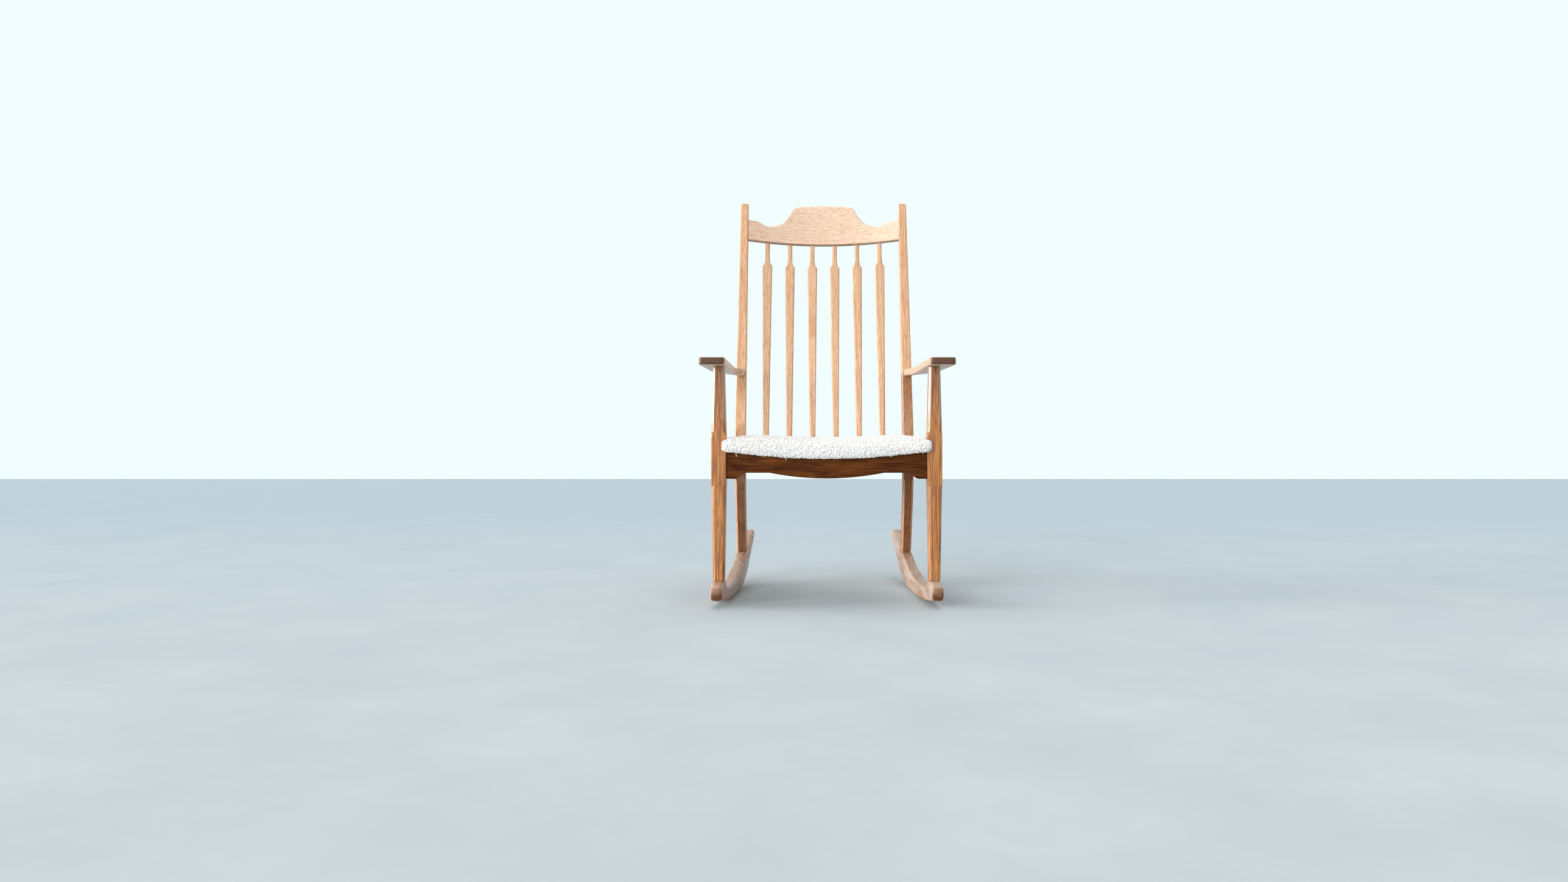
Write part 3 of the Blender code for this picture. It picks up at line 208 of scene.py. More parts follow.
@dataclass
class OakCut:
    """One piece's cut of oak, with the numbers that every cut shares."""

    oak: Oak
    piece: str
    grain: Grain
    board_reach: float = 0.4
    slow: float = 0.16
    sway: float = 0.022
    sway_scale: float = 16.0
    ring_start: float = 0.14
    ring_end: float = 0.85
    ring_lean: float = 0.12
    streak_length: float = 32.0
    pore_level: float = 0.585
    pore_rough: float = 0.16
    relief: float = 0.35
    relief_mm: float = 0.25
    end_most: float = 0.95
    arcs: Pair = (0.05, 0.6)
    # Least share of the painted shade away from the pores.
    pore_shading: float = 0.78
    chamfer: Pair = (0.3, 0.55)
    # Normals that look down, which get painted shade.
    down: Pair = (-0.8, -0.35)
    soil_scale: float = 110.0
    soil_ragged: float = 0.03
    soil_facing: Pair = (0.35, 0.8)
    patch_mm: float = 28.0
    patch_length: float = 3.0
    patch_band: Pair = (0.38, 0.66)

    def __post_init__(self) -> None:
        """Start the material, and lay out the swaying board with its rings and pores."""
        oak = self.oak
        self.made, tree, self.shader = new_material("%s.%s" % (oak.name, self.piece))
        self.tree = tree
        self.place = random.Random(self.piece)
        shift = [self.place.uniform(-self.board_reach, self.board_reach) for _ in range(3)]
        self.coords = add(tree, "TexCoord").outputs["Object"]
        self.at = add(tree, "SeparateXYZ", {0: self.coords}).outputs
        self.normal = add(tree, "NewGeometry").outputs["Normal"]
        self.facing = add(tree, "SeparateXYZ", {0: self.normal}).outputs
        straight = self._straightened() if oak.bow or oak.bends else self.coords
        self.board = add(tree, "Mapping", {
            "Vector": straight, "Location": shift, "Rotation": self.grain.value})
        slow = add(tree, "Mapping", {"Vector": self.board, "Scale": (1.0, 1.0, self.slow)})
        cloud = add(tree, "TexNoise", {"Vector": slow, "Scale": self.sway_scale, "Detail": 2.0})
        aside = {0: cloud.outputs["Color"], 1: (0.5, 0.5, 0.5)}
        sway = add(tree, "VectorMath", aside, operation="SUBTRACT")
        reach = (self.sway, self.sway, 0.0)
        self.bent = add(tree, "VectorMath", {0: sway, 1: reach, 2: slow}, operation="MULTIPLY_ADD")
        self.rings = self._rings()
        pores = self._along(self.bent, oak.pore_mm, oak.pore_length * self.slow, detail=2.0)
        low, high = self.pore_level - oak.pore_edge, self.pore_level + oak.pore_edge
        self.pores = add(tree, "MapRange", {0: pores, 1: low, 2: high})

    def material(self) -> Material:
        """Lay the colours over each other, and join colour, gloss and relief to the shader.

        Returns:
            The material.
        """
        oak, tree = self.oak, self.tree
        streaks = self._along(self.bent, oak.streak_mm, self.streak_length * self.slow, detail=3.0)
        ground = add(tree, "MapRange", {0: streaks, 1: 0.5 - oak.streak_half, 2: 0.5 + oak.streak_half})
        colour = add(tree, "Mix", {0: ground, 6: linear(oak.light), 7: linear(oak.mid)}, data_type="RGBA")
        for share, tone, blend in self._layers():
            colour = add(tree, "Mix", {0: share, 6: colour, 7: tone}, data_type="RGBA", blend_type=blend)
        rough = add(tree, "MapRange", {0: self.pores, 3: oak.roughness, 4: oak.roughness + self.pore_rough})
        height = add(tree, "Math", {0: self.pores, 1: -1.0, 2: 1.0}, operation="MULTIPLY_ADD")
        bump = add(tree, "Bump", {
            "Height": height, "Strength": self.relief, "Distance": self.relief_mm * MILLIMETRE})
        feed(self.shader, {
            "Base Color": colour, "Roughness": rough, "Normal": bump, "Specular IOR Level": oak.specular})
        return self.made

    def _layers(self) -> Iterator[tuple[Node, Any, str]]:
        """What lies over the ground colour, in order.

        Yields:
            A layer's share, its tone and how it blends.
        """
        oak = self.oak
        grown = (self.rings, oak.ring_depth, oak.dark), (self.pores, oak.pore_depth, oak.pore)
        for marks, depth, tone in grown:
            yield add(self.tree, "Math", {0: marks, 1: depth}, operation="MULTIPLY"), linear(tone), "MIX"
        if oak.wear:
            yield self._worn(), linear(oak.wear_colour), "MIX"
        # End grain drinks more oil, and shows the rings as arcs.
        low, high = self.arcs
        arcs = add(self.tree, "MapRange", {0: self.rings, 1: low, 2: high, 3: 1.0 - oak.end_contrast, 4: 1.0})
        tone = add(self.tree, "Mix", {0: arcs, 6: linear(oak.mid), 7: linear(oak.end)}, data_type="RGBA")
        yield self._end_grain(), tone, "MIX"
        if oak.soil:
            yield self._soiled(), linear(oak.soil), "MULTIPLY"
        # Painted shade by height, kept off the chamfers.
        if oak.shaded:
            yield self._painted_shade(), linear(oak.shaded), "MULTIPLY"
        # Painted highlight on the upper chamfers.
        if oak.highlight_share:
            yield self._painted_highlight(), linear(oak.highlight_colour), "MIX"
        # Painted shade on faces that look down.
        if oak.under:
            ends = {1: self.down[0], 2: self.down[1], 3: 1.0, 4: 0.0}
            yield add(self.tree, "MapRange", {0: self.facing["Z"], **ends}), linear(oak.under), "MULTIPLY"

    def _straightened(self) -> Node:
        """Lay a bowed or bent stick straight, so that its fibres follow its run.

        Returns:
            Object coordinates without the bow and the bends.
        """
        tree = self.tree
        square = add(tree, "Math", {0: self.at["X"], 1: self.at["X"]}, operation="MULTIPLY")
        shift = add(tree, "Math", {0: square, 1: self.oak.bow}, operation="MULTIPLY")
        for height, slope in self.oak.bends:
            over = {0: self.at["Z"], 1: slope, 2: -height * slope}
            past = add(tree, "Math", over, operation="MULTIPLY_ADD")
            past = add(tree, "Math", {0: past, 1: 0.0}, operation="MAXIMUM")
            shift = add(tree, "Math", {0: shift, 1: past}, operation="SUBTRACT")
        back = add(tree, "CombineXYZ", {"Y": shift})
        return add(tree, "VectorMath", {0: self.coords, 1: back}, operation="ADD")

    def _rings(self) -> Node:
        """Growth rings round a pith outside the board: dark porous wood that fades into clear wood.

        Returns:
            One at a ring's porous start, none at its end.
        """
        oak, tree = self.oak, self.tree
        turn = self.place.uniform(0.0, 2 * math.pi) if oak.pith_turn is None else oak.pith_turn
        pith = (oak.pith * math.cos(turn), oak.pith * math.sin(turn), 0.0)
        away = add(tree, "VectorMath", {0: self.bent, 1: pith}, operation="SUBTRACT")
        flat = add(tree, "VectorMath", {0: away, 1: (1.0, 1.0, self.ring_lean)}, operation="MULTIPLY")
        reach = add(tree, "VectorMath", {0: flat}, operation="LENGTH").outputs["Value"]
        count = add(tree, "Math", {0: reach, 1: 1.0 / (oak.ring_mm * MILLIMETRE)}, operation="MULTIPLY")
        phase = add(tree, "Math", {0: count}, operation="FRACT")
        rise = add(tree, "MapRange", {0: phase, 1: 0.0, 2: self.ring_start}, interpolation_type="SMOOTHSTEP")
        fall = add(tree, "MapRange", {0: phase, 1: self.ring_start, 2: self.ring_end, 3: 1.0, 4: 0.0})
        return add(tree, "Math", {0: rise, 1: fall}, operation="MULTIPLY")

    def _along(self, board: Node, width_mm: float, stretch: float, detail: float) -> Node:
        """Noise drawn out along the fibres.

        Args:
            board: board coordinates, fibres upright.
            width_mm: width of a mark across the fibres.
            stretch: a mark's length in widths.
            detail: levels of finer noise.

        Returns:
            The noise.
        """
        drawn = add(self.tree, "Mapping", {"Vector": board, "Scale": (1.0, 1.0, 1.0 / stretch)})
        scale = 1.0 / (width_mm * MILLIMETRE)
        return add(self.tree, "TexNoise", {"Vector": drawn, "Scale": scale, "Detail": detail})

    def _worn(self) -> Node:
        """Bleached and scuffed patches where the oil has gone."""
        patches = self._along(self.board, self.patch_mm, self.patch_length, detail=4.0)
        low, high = self.patch_band
        return add(self.tree, "MapRange", {0: patches, 1: low, 2: high, 4: self.oak.wear})

    def _end_grain(self) -> Node:
        """Find the faces that cut across the fibres.

        Returns:
            Near one on those faces, none on the planed ones.
        """
        turned = {"Vector": self.normal, "Rotation": self.grain.value}
        upright = add(self.tree, "Mapping", turned, vector_type="VECTOR")
        along = add(self.tree, "SeparateXYZ", {0: upright}).outputs["Z"]
        size = add(self.tree, "Math", {0: along}, operation="ABSOLUTE")
        ends = {0: size, 1: self.oak.end_from, 2: self.oak.end_to, 4: self.end_most}
        return add(self.tree, "MapRange", ends, interpolation_type="SMOOTHSTEP")

    def _soiled(self) -> Node:
        """Floor dirt in the low part of the ends, with a ragged upper edge.

        Returns:
            The dirt's share.
        """
        oak, tree = self.oak, self.tree
        mottle = add(tree, "TexNoise", {"Vector": self.coords, "Scale": self.soil_scale, "Detail": 4.0})
        edge = {0: mottle, 1: self.soil_ragged, 2: self.at["Z"]}
        ragged = add(tree, "Math", edge, operation="MULTIPLY_ADD")
        low = add(tree, "MapRange", {0: ragged, 1: oak.soil_low, 2: oak.soil_high, 3: 1.0, 4: 0.0})
        facing = add(tree, "Math", {0: self.facing["Y"]}, operation="ABSOLUTE")
        facing = add(tree, "MapRange", {0: facing, 1: self.soil_facing[0], 2: self.soil_facing[1]})
        return add(tree, "Math", {0: low, 1: facing}, operation="MULTIPLY")

    def _by_chamfer(self, flat: float, chamfer: float) -> Node:
        """Tell the chamfers from the faces that are square to the stick.

        Args:
            flat: value on the square faces.
            chamfer: value on the chamfers.

        Returns:
            The value.
        """
        size = add(self.tree, "VectorMath", {0: self.normal}, operation="ABSOLUTE")
        apart = add(self.tree, "SeparateXYZ", {0: size}).outputs
        least = add(self.tree, "Math", {0: apart["X"], 1: apart["Y"]}, operation="MINIMUM")
        low, high = self.chamfer
        return add(self.tree, "MapRange", {0: least, 1: low, 2: high, 3: flat, 4: chamfer})

    def _painted_shade(self) -> Node:
        """Painted shade between heights, deeper in the pores and kept off the chamfers.

        Returns:
            The painted shade's share.
        """
        ramp = add(self.tree, "ValToRGB", {0: self.at["Z"]})
        stops = ramp.color_ramp.elements
        while len(stops) < len(self.oak.shade_stops):
            stops.new(0.5)
        for stop, (height, depth) in zip(stops, self.oak.shade_stops):
            stop.position = height
            stop.color = (depth, depth, depth, 1.0)
        pore_shading = add(self.tree, "MapRange", {0: self.pores, 3: self.pore_shading, 4: 1.0})
        share = add(self.tree, "Math", {0: ramp, 1: pore_shading}, operation="MULTIPLY")
        flat = self._by_chamfer(1.0, 1.0 - self.oak.lit_chamfers)
        return add(self.tree, "Math", {0: share, 1: flat}, operation="MULTIPLY")

    def _painted_highlight(self) -> Node:
        """Painted highlight on the chamfers above a height.

        Returns:
            The painted highlight's share.
        """
        pale = self._by_chamfer(0.0, self.oak.highlight_share)
        high = add(self.tree, "MapRange", {0: self.at["Z"], 1: self.oak.highlight_low, 2: self.oak.highlight_high})
        return add(self.tree, "Math", {0: pale, 1: high}, operation="MULTIPLY")


@dataclass(frozen=True)
class Boucle:
    """Undyed looped wool: matt cream yarn, light at its rim and a little darker between the loops.

    Single fibres are far too fine to show, so their mottle is drawn as coarse as the yarn.
    """

    name: str = "boucle_wool"
    yarn: str = "#fcfbf9"
    shade: str = "#f7f5f1"
    yarn_mm: float = 2.7
    mottle: Pair = (0.35, 0.65)
    mottle_most: float = 0.5
    mottle_rough: float = 0.7
    relief: float = 0.6
    relief_mm: float = 0.5
    roughness: float = 0.95
    specular: float = 0.2
    sheen: float = 0.4

    def material(self, piece: str) -> Material:
        """Make the wool for one piece.

        Args:
            piece: the piece's name.

        Returns:
            The material.
        """
        made, tree, shader = new_material("%s.%s" % (self.name, piece))
        coords = add(tree, "TexCoord").outputs["Object"]
        scale = 1.0 / (self.yarn_mm * MILLIMETRE)
        fibres = add(tree, "TexNoise", {
            "Vector": coords, "Scale": scale, "Detail": 4.0, "Roughness": self.mottle_rough})
        share = add(tree, "MapRange", {0: fibres, 1: self.mottle[0], 2: self.mottle[1], 4: self.mottle_most})
        colour = add(tree, "Mix", {0: share, 6: linear(self.yarn), 7: linear(self.shade)}, data_type="RGBA")
        bump = add(tree, "Bump", {
            "Height": fibres, "Strength": self.relief, "Distance": self.relief_mm * MILLIMETRE})
        feed(shader, {"Base Color": colour, "Normal": bump, "Roughness": self.roughness,
                      "Specular IOR Level": self.specular, "Sheen Weight": self.sheen})
        return made


@dataclass(frozen=True)
class Plywood:
    """Sanded birch plywood: pale, close-grained face veneer with faint streaks."""

    name: str = "sanded_birch_plywood"
    light: str = "#dcc19a"
    dark: str = "#c6a77c"
    roughness: float = 0.6
    streak_scale: float = 180.0
    streak_draw: float = 0.05
    streak_band: Pair = (0.3, 0.7)

    def material(self) -> Material:
        """Make the plywood.

        Returns:
            The material.
        """
        made, tree, shader = new_material(self.name)
        coords = add(tree, "TexCoord").outputs["Object"]
        drawn = add(tree, "Mapping", {"Vector": coords, "Scale": (self.streak_draw, 1.0, 1.0)})
        streaks = add(tree, "TexNoise", {"Vector": drawn, "Scale": self.streak_scale, "Detail": 4.0})
        share = add(tree, "MapRange", {0: streaks, 1: self.streak_band[0], 2: self.streak_band[1]})
        colour = add(tree, "Mix", {0: share, 6: linear(self.light), 7: linear(self.dark)}, data_type="RGBA")
        feed(shader, {"Base Color": colour, "Roughness": self.roughness})
        return made


@dataclass(frozen=True)
class Zinc:
    """Zinc-plated steel: grey metal with a faint blotchy tarnish."""

    name: str = "zinc_plated_steel"
    colour: str = "#c3c4c2"
    blotch_scale: float = 600.0
    blotch_band: Pair = (0.3, 0.7)
    roughness: Pair = (0.25, 0.45)

    def material(self) -> Material:
        """Make the plating.

        Returns:
            The material.
        """
        made, tree, shader = new_material(self.name)
        coords = add(tree, "TexCoord").outputs["Object"]
        blotch = add(tree, "TexNoise", {"Vector": coords, "Scale": self.blotch_scale, "Detail": 3.0})
        (low, high), (smooth, rough) = self.blotch_band, self.roughness
        gloss = add(tree, "MapRange", {0: blotch, 1: low, 2: high, 3: smooth, 4: rough})
        feed(shader, {"Base Color": linear(self.colour), "Roughness": gloss, "Metallic": 1.0})
        return made


def plain_mesh(item: Item, keep: bool = False) -> Mesh:
    """Turn a working object with modifiers into a plain mesh.

    Args:
        item: the object.
        keep: whether the object stays in the scene.

    Returns:
        Its evaluated mesh.
    """
    depsgraph = bpy.context.evaluated_depsgraph_get()
    made = bpy.data.meshes.new_from_object(item.evaluated_get(depsgraph), depsgraph=depsgraph)
    if not keep:
        bpy.data.objects.remove(item, do_unlink=True)
    return made


def put(name: str, data: bpy.types.ID, finish: Material | None = None) -> Item:
    """Link a mesh, lamp or camera into the scene as an object at the origin.

    Args:
        name: the object's name.
        data: its mesh in the CAD frame, or its lamp or camera.
        finish: the material it wears, if it isn't in the mesh already.

    Returns:
        The object.
    """
    item = bpy.data.objects.new(name, data)
    bpy.context.scene.collection.objects.link(item)
    if finish:
        data.materials.clear()
        data.materials.append(finish)
    return item


def mesh_of(name: str, bm: bmesh.types.BMesh) -> Mesh:
    """Turn an edited mesh into a plain one.

    Args:
        name: the new mesh's name.
        bm: the edited mesh, which is freed.

    Returns:
        The new mesh.
    """
    mesh = bpy.data.meshes.new(name)
    bm.to_mesh(mesh)
    bm.free()
    return mesh


def merged_copy(*nodes: str) -> Mesh:
    """Copy CAD nodes into one mesh, with the loose triangles sewn together.

    Args:
        nodes: names of the CAD nodes.

    Returns:
        The new mesh.
    """
    bm = bmesh.new()
    for node in nodes:
        bm.from_mesh(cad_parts[node].data)
    bmesh.ops.remove_doubles(bm, verts=bm.verts, dist=SEWING_GAP)
    return mesh_of("_".join(nodes), bm)


def voxel_mesh(name: str, mesh: Mesh, size: float) -> Mesh:
    """Remesh a closed solid evenly.

    Args:
        name: a name for the working object.
        mesh: the solid.
        size: edge of a voxel.

    Returns:
        The even mesh, shaded smooth.
    """
    rough = put(name, mesh)
    even = rough.modifiers.new("even_mesh", "REMESH")
    even.mode = "VOXEL"
    even.voxel_size = size
    even.use_smooth_shade = True
    return plain_mesh(rough)


@dataclass
class WoodPiece:
    """A stick or board of the frame: its CAD solid with hand-eased edges and its own cut of wood.

    A worn piece is smoothed all over, and more beyond its ends, which are places along Y.
    """

    node: str
    finish: Oak
    grain: Grain
    slot: str
    ease: float = 0.0009
    ease_steps: int = 2
    face_weight: int = 60
    worn: int = 0
    worn_voxel: float = 0.0026
    worn_step: float = 0.5
    ends: Pair = (-0.286, 0.186)
    end_worn: int = 30
    end_ramp: float = 0.012
    flat_angle: float = math.radians(0.4)
    sharp_angle: float = math.radians(32.0)

    def build(self) -> None:
        """Sew the CAD solid, ease or wear its edges, and set it on the frame in its node's place."""
        mesh = self._rounded() if self.worn else self._eased()
        piece = put(self.node + "_oak", mesh, self.finish.material(self.node, self.grain))
        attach(piece, BODY)
        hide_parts(self.node)
        LOG.info("%s: %d faces of %s", piece.name, len(piece.data.polygons), self.finish.name)

    def _eased(self) -> Mesh:
        """Ease the edges, as the maker's plane has.

        Returns:
            The finished mesh.
        """
        mesh = merged_copy(self.node)
        bm = bmesh.new()
        bm.from_mesh(mesh)
        bmesh.ops.dissolve_limit(bm, angle_limit=self.flat_angle, verts=bm.verts, edges=bm.edges)
        for face in bm.faces:
            face.smooth = True
        bm.to_mesh(mesh)
        bm.free()
        rough = put(self.node + "_blank", mesh)
        bevel = rough.modifiers.new("eased_edges", "BEVEL")
        bevel.limit_method = "ANGLE"
        bevel.angle_limit = self.sharp_angle
        bevel.width = self.ease
        bevel.segments = self.ease_steps
        weighted = rough.modifiers.new("even_faces", "WEIGHTED_NORMAL")
        weighted.weight = self.face_weight
        return plain_mesh(rough)

    def _rounded(self) -> Mesh:
        """Wear the edges round, as years of use have.

        Returns:
            The finished mesh.
        """
        made = voxel_mesh(self.node + "_blank", merged_copy(self.node), self.worn_voxel)
        along = np.array([vertex.co.y for vertex in made.vertices])
        share = np.clip(np.maximum(self.ends[0] - along, along - self.ends[1]) / self.end_ramp, 0.0, 1.0)
        even = put(self.node + "_even", made)
        ends = even.vertex_groups.new(name="ends")
        for index in np.flatnonzero(share):
            ends.add([int(index)], float(share[index]), "REPLACE")
        for rounds, group in ((self.worn, ""), (self.end_worn, "ends")):
            wear = even.modifiers.new("wear", "SMOOTH")
            wear.factor = self.worn_step
            wear.iterations = rounds
            wear.vertex_group = group
        return plain_mesh(even)


@dataclass
class Timber:
    """All of the chair's wood that shows: back, arms, legs, rails and rockers."""

    # Front legs: deep and glossy, with painted shade near the arms and painted highlights on the upper
    # chamfers.
    frame_oak: Oak = Oak(
        "oiled_oak", "#dc964a", "#a85f25", "#84430f", "#481d06", "#6b4a33", 0.3, specular=0.8, ring_depth=0.4,
        streak_mm=3.4, streak_half=0.11, pore_mm=1.3, pore_length=48.0, pore_edge=0.045, pore_depth=0.7,
        shaded="#cac0ba", shade_stops=((0.445, 0.0), (0.525, 1.0)), lit_chamfers=0.9, highlight_share=0.7)
    # Rear posts: pale above the seat, with painted shade below it and a little under the arms, and chamfers
    # kept out of it as painted highlights.
    post_oak: Oak = Oak(
        "post_oak", "#f2c6a2", "#daa67d", "#c08b5d", "#a06c40", "#8a6040", 0.36, specular=0.25,
        ring_depth=0.35, streak_mm=2.6, streak_half=0.18, pore_mm=1.0, pore_length=22.0, pore_edge=0.045,
        pore_depth=0.6, end_contrast=0.4, bends=((0.408, 0.2418), (0.266, -0.32)), lit_chamfers=0.75,
        shaded="#704722",
        shade_stops=((0.36, 1.0), (0.44, 0.0), (0.49, 0.0), (0.545, 0.3), (0.56, 0.3), (0.575, 0.0)))
    # The right post stands away from the window, and gets more painted shade from the arm down.
    right_shaded: str = "#94662f"
    right_stops: tuple[Pair, ...] = ((0.36, 1.0), (0.42, 0.5), (0.55, 0.85), (0.565, 0.85), (0.58, 0.0))
    # Arms: greyed and polished by hands, with noses dark from oil.
    arm_oak: Oak = Oak(
        "arm_oak", "#dfc6ab", "#ceb090", "#b08d6c", "#92694a", "#522e18", 0.28, specular=0.35, ring_mm=3.2,
        pith_turn=0.0, pore_mm=1.2, pore_depth=0.45, end_contrast=0.05, end_from=0.5, end_to=0.8)
    # Spindles: bleached, close-grained and nearly matt.
    spindle_oak: Oak = Oak(
        "spindle_oak", "#f2ccab", "#dfaf88", "#c89467", "#a8744a", "#9a6d45", 0.38, streak_mm=2.6,
        streak_half=0.18, pore_mm=1.0, pore_length=24.0, pore_edge=0.045, pore_depth=0.6)
    # Crest: the palest wood, partly painted light from above, flecked along its bow, with painted shade on
    # its underside.
    pale_oak: Oak = Oak(
        "light_oak", "#fbe2cb", "#efcaad", "#dbb08b", "#b9814f", "#d3aa84", 0.42, ring_depth=0.25,
        streak_mm=2.8, pore_mm=0.9, pore_length=18.0, pore_edge=0.045, pore_depth=0.7, end_contrast=0.4,
        bow=0.62, under="#7a5c42")
    # Seat rails: dark and matt, with painted shade from the seat in their colour.
    rail_oak: Oak = Oak(
        "shaded_oak", "#7c4416", "#502606", "#381703", "#210c01", "#3a2010", 0.55, specular=0.12,
        streak_mm=2.6, streak_half=0.14, pore_mm=1.25, pore_length=45.0)
    # Rockers: scuffed grey in patches, with floor dirt on their noses.
    rocker_oak: Oak = Oak(
        "worn_oak", "#d2a683", "#ae7f5c", "#84583a", "#633d24", "#966e50", 0.36, ring_mm=4.5, pith=0.03,
        pore_mm=1.3, pore_length=26.0, pore_depth=0.55, end_contrast=0.4, end_from=0.3, end_to=0.9,
        wear=0.62, soil="#ae8a66")
    worn: int = 8
    arm_ease: float = 0.0025
    crest_ease: float = 0.0015
    spindles: int = 6

    def pieces(self) -> list[WoodPiece]:
        """List every wooden piece with its finish, fibres and slot.

        Returns:
            The pieces, from the floor up.
        """
        made = []
        right_post = replace(self.post_oak, shaded=self.right_shaded, shade_stops=self.right_stops)
        for side, post_oak in (("left", self.post_oak), ("right", right_post)):
            made += [
                WoodPiece(side + "_rocker", self.rocker_oak, Grain.BACKWARD, "worn_oak", worn=self.worn),
                WoodPiece(side + "_front_leg", self.frame_oak, Grain.UPRIGHT, "oiled_oak"),
                WoodPiece(side + "_rear_post", post_oak, Grain.UPRIGHT, "oiled_oak"),
                WoodPiece(side + "_side_rail", self.rail_oak, Grain.BACKWARD, "oiled_oak"),
                WoodPiece(side + "_arm", self.arm_oak, Grain.BACKWARD, "oiled_oak", self.arm_ease),
            ]
        made += [
            WoodPiece("front_seat_rail", self.rail_oak, Grain.ACROSS, "oiled_oak"),
            WoodPiece("rear_seat_rail", self.frame_oak, Grain.ACROSS, "oiled_oak"),
            WoodPiece("crest_rail", self.pale_oak, Grain.ACROSS, "light_oak", self.crest_ease),
        ]
        return made + [WoodPiece("spindle_%d" % number, self.spindle_oak, Grain.LEANING, "light_oak")
                       for number in range(1, self.spindles + 1)]

    def build(self) -> None:
        """Build every wooden piece."""
        for wood in self.pieces():
            wood.build()


@dataclass
class Fittings:
    """What holds the seat down from below: board, blocks, screws and dowels, which stay as CAD solids."""

    # Steamed beech: pinkish, even and matt, with hardly a ring to see.
    block_wood: Oak = Oak("beech", "#d3ad86", "#c79c72", "#b98a60", "#a87a53", "#a2764f", 0.55,
                          ring_depth=0.2, pore_depth=0.25)
    corners: tuple[str, ...] = ("front_left", "front_right", "rear_left", "rear_right")

    def dress(self) -> None:
        """Give each CAD solid under the seat its material."""
        finishes: dict[str, Material] = {"seat_board": Plywood().material()}
        plating = Zinc().material()
        for corner in self.corners:
            finishes[corner + "_corner_block"] = self.block_wood.material(corner + "_block", Grain.ACROSS)
            finishes[corner + "_seat_screw"] = plating
        for side in ("left", "right"):
            finishes[side + "_arm_dowel"] = self.block_wood.material(side + "_dowel", Grain.BACKWARD)
        for node, finish in finishes.items():
            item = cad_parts[node]
            item.data.materials.clear()
            item.data.materials.append(finish)
            LOG.info("%s wears %s", node, finish.name)


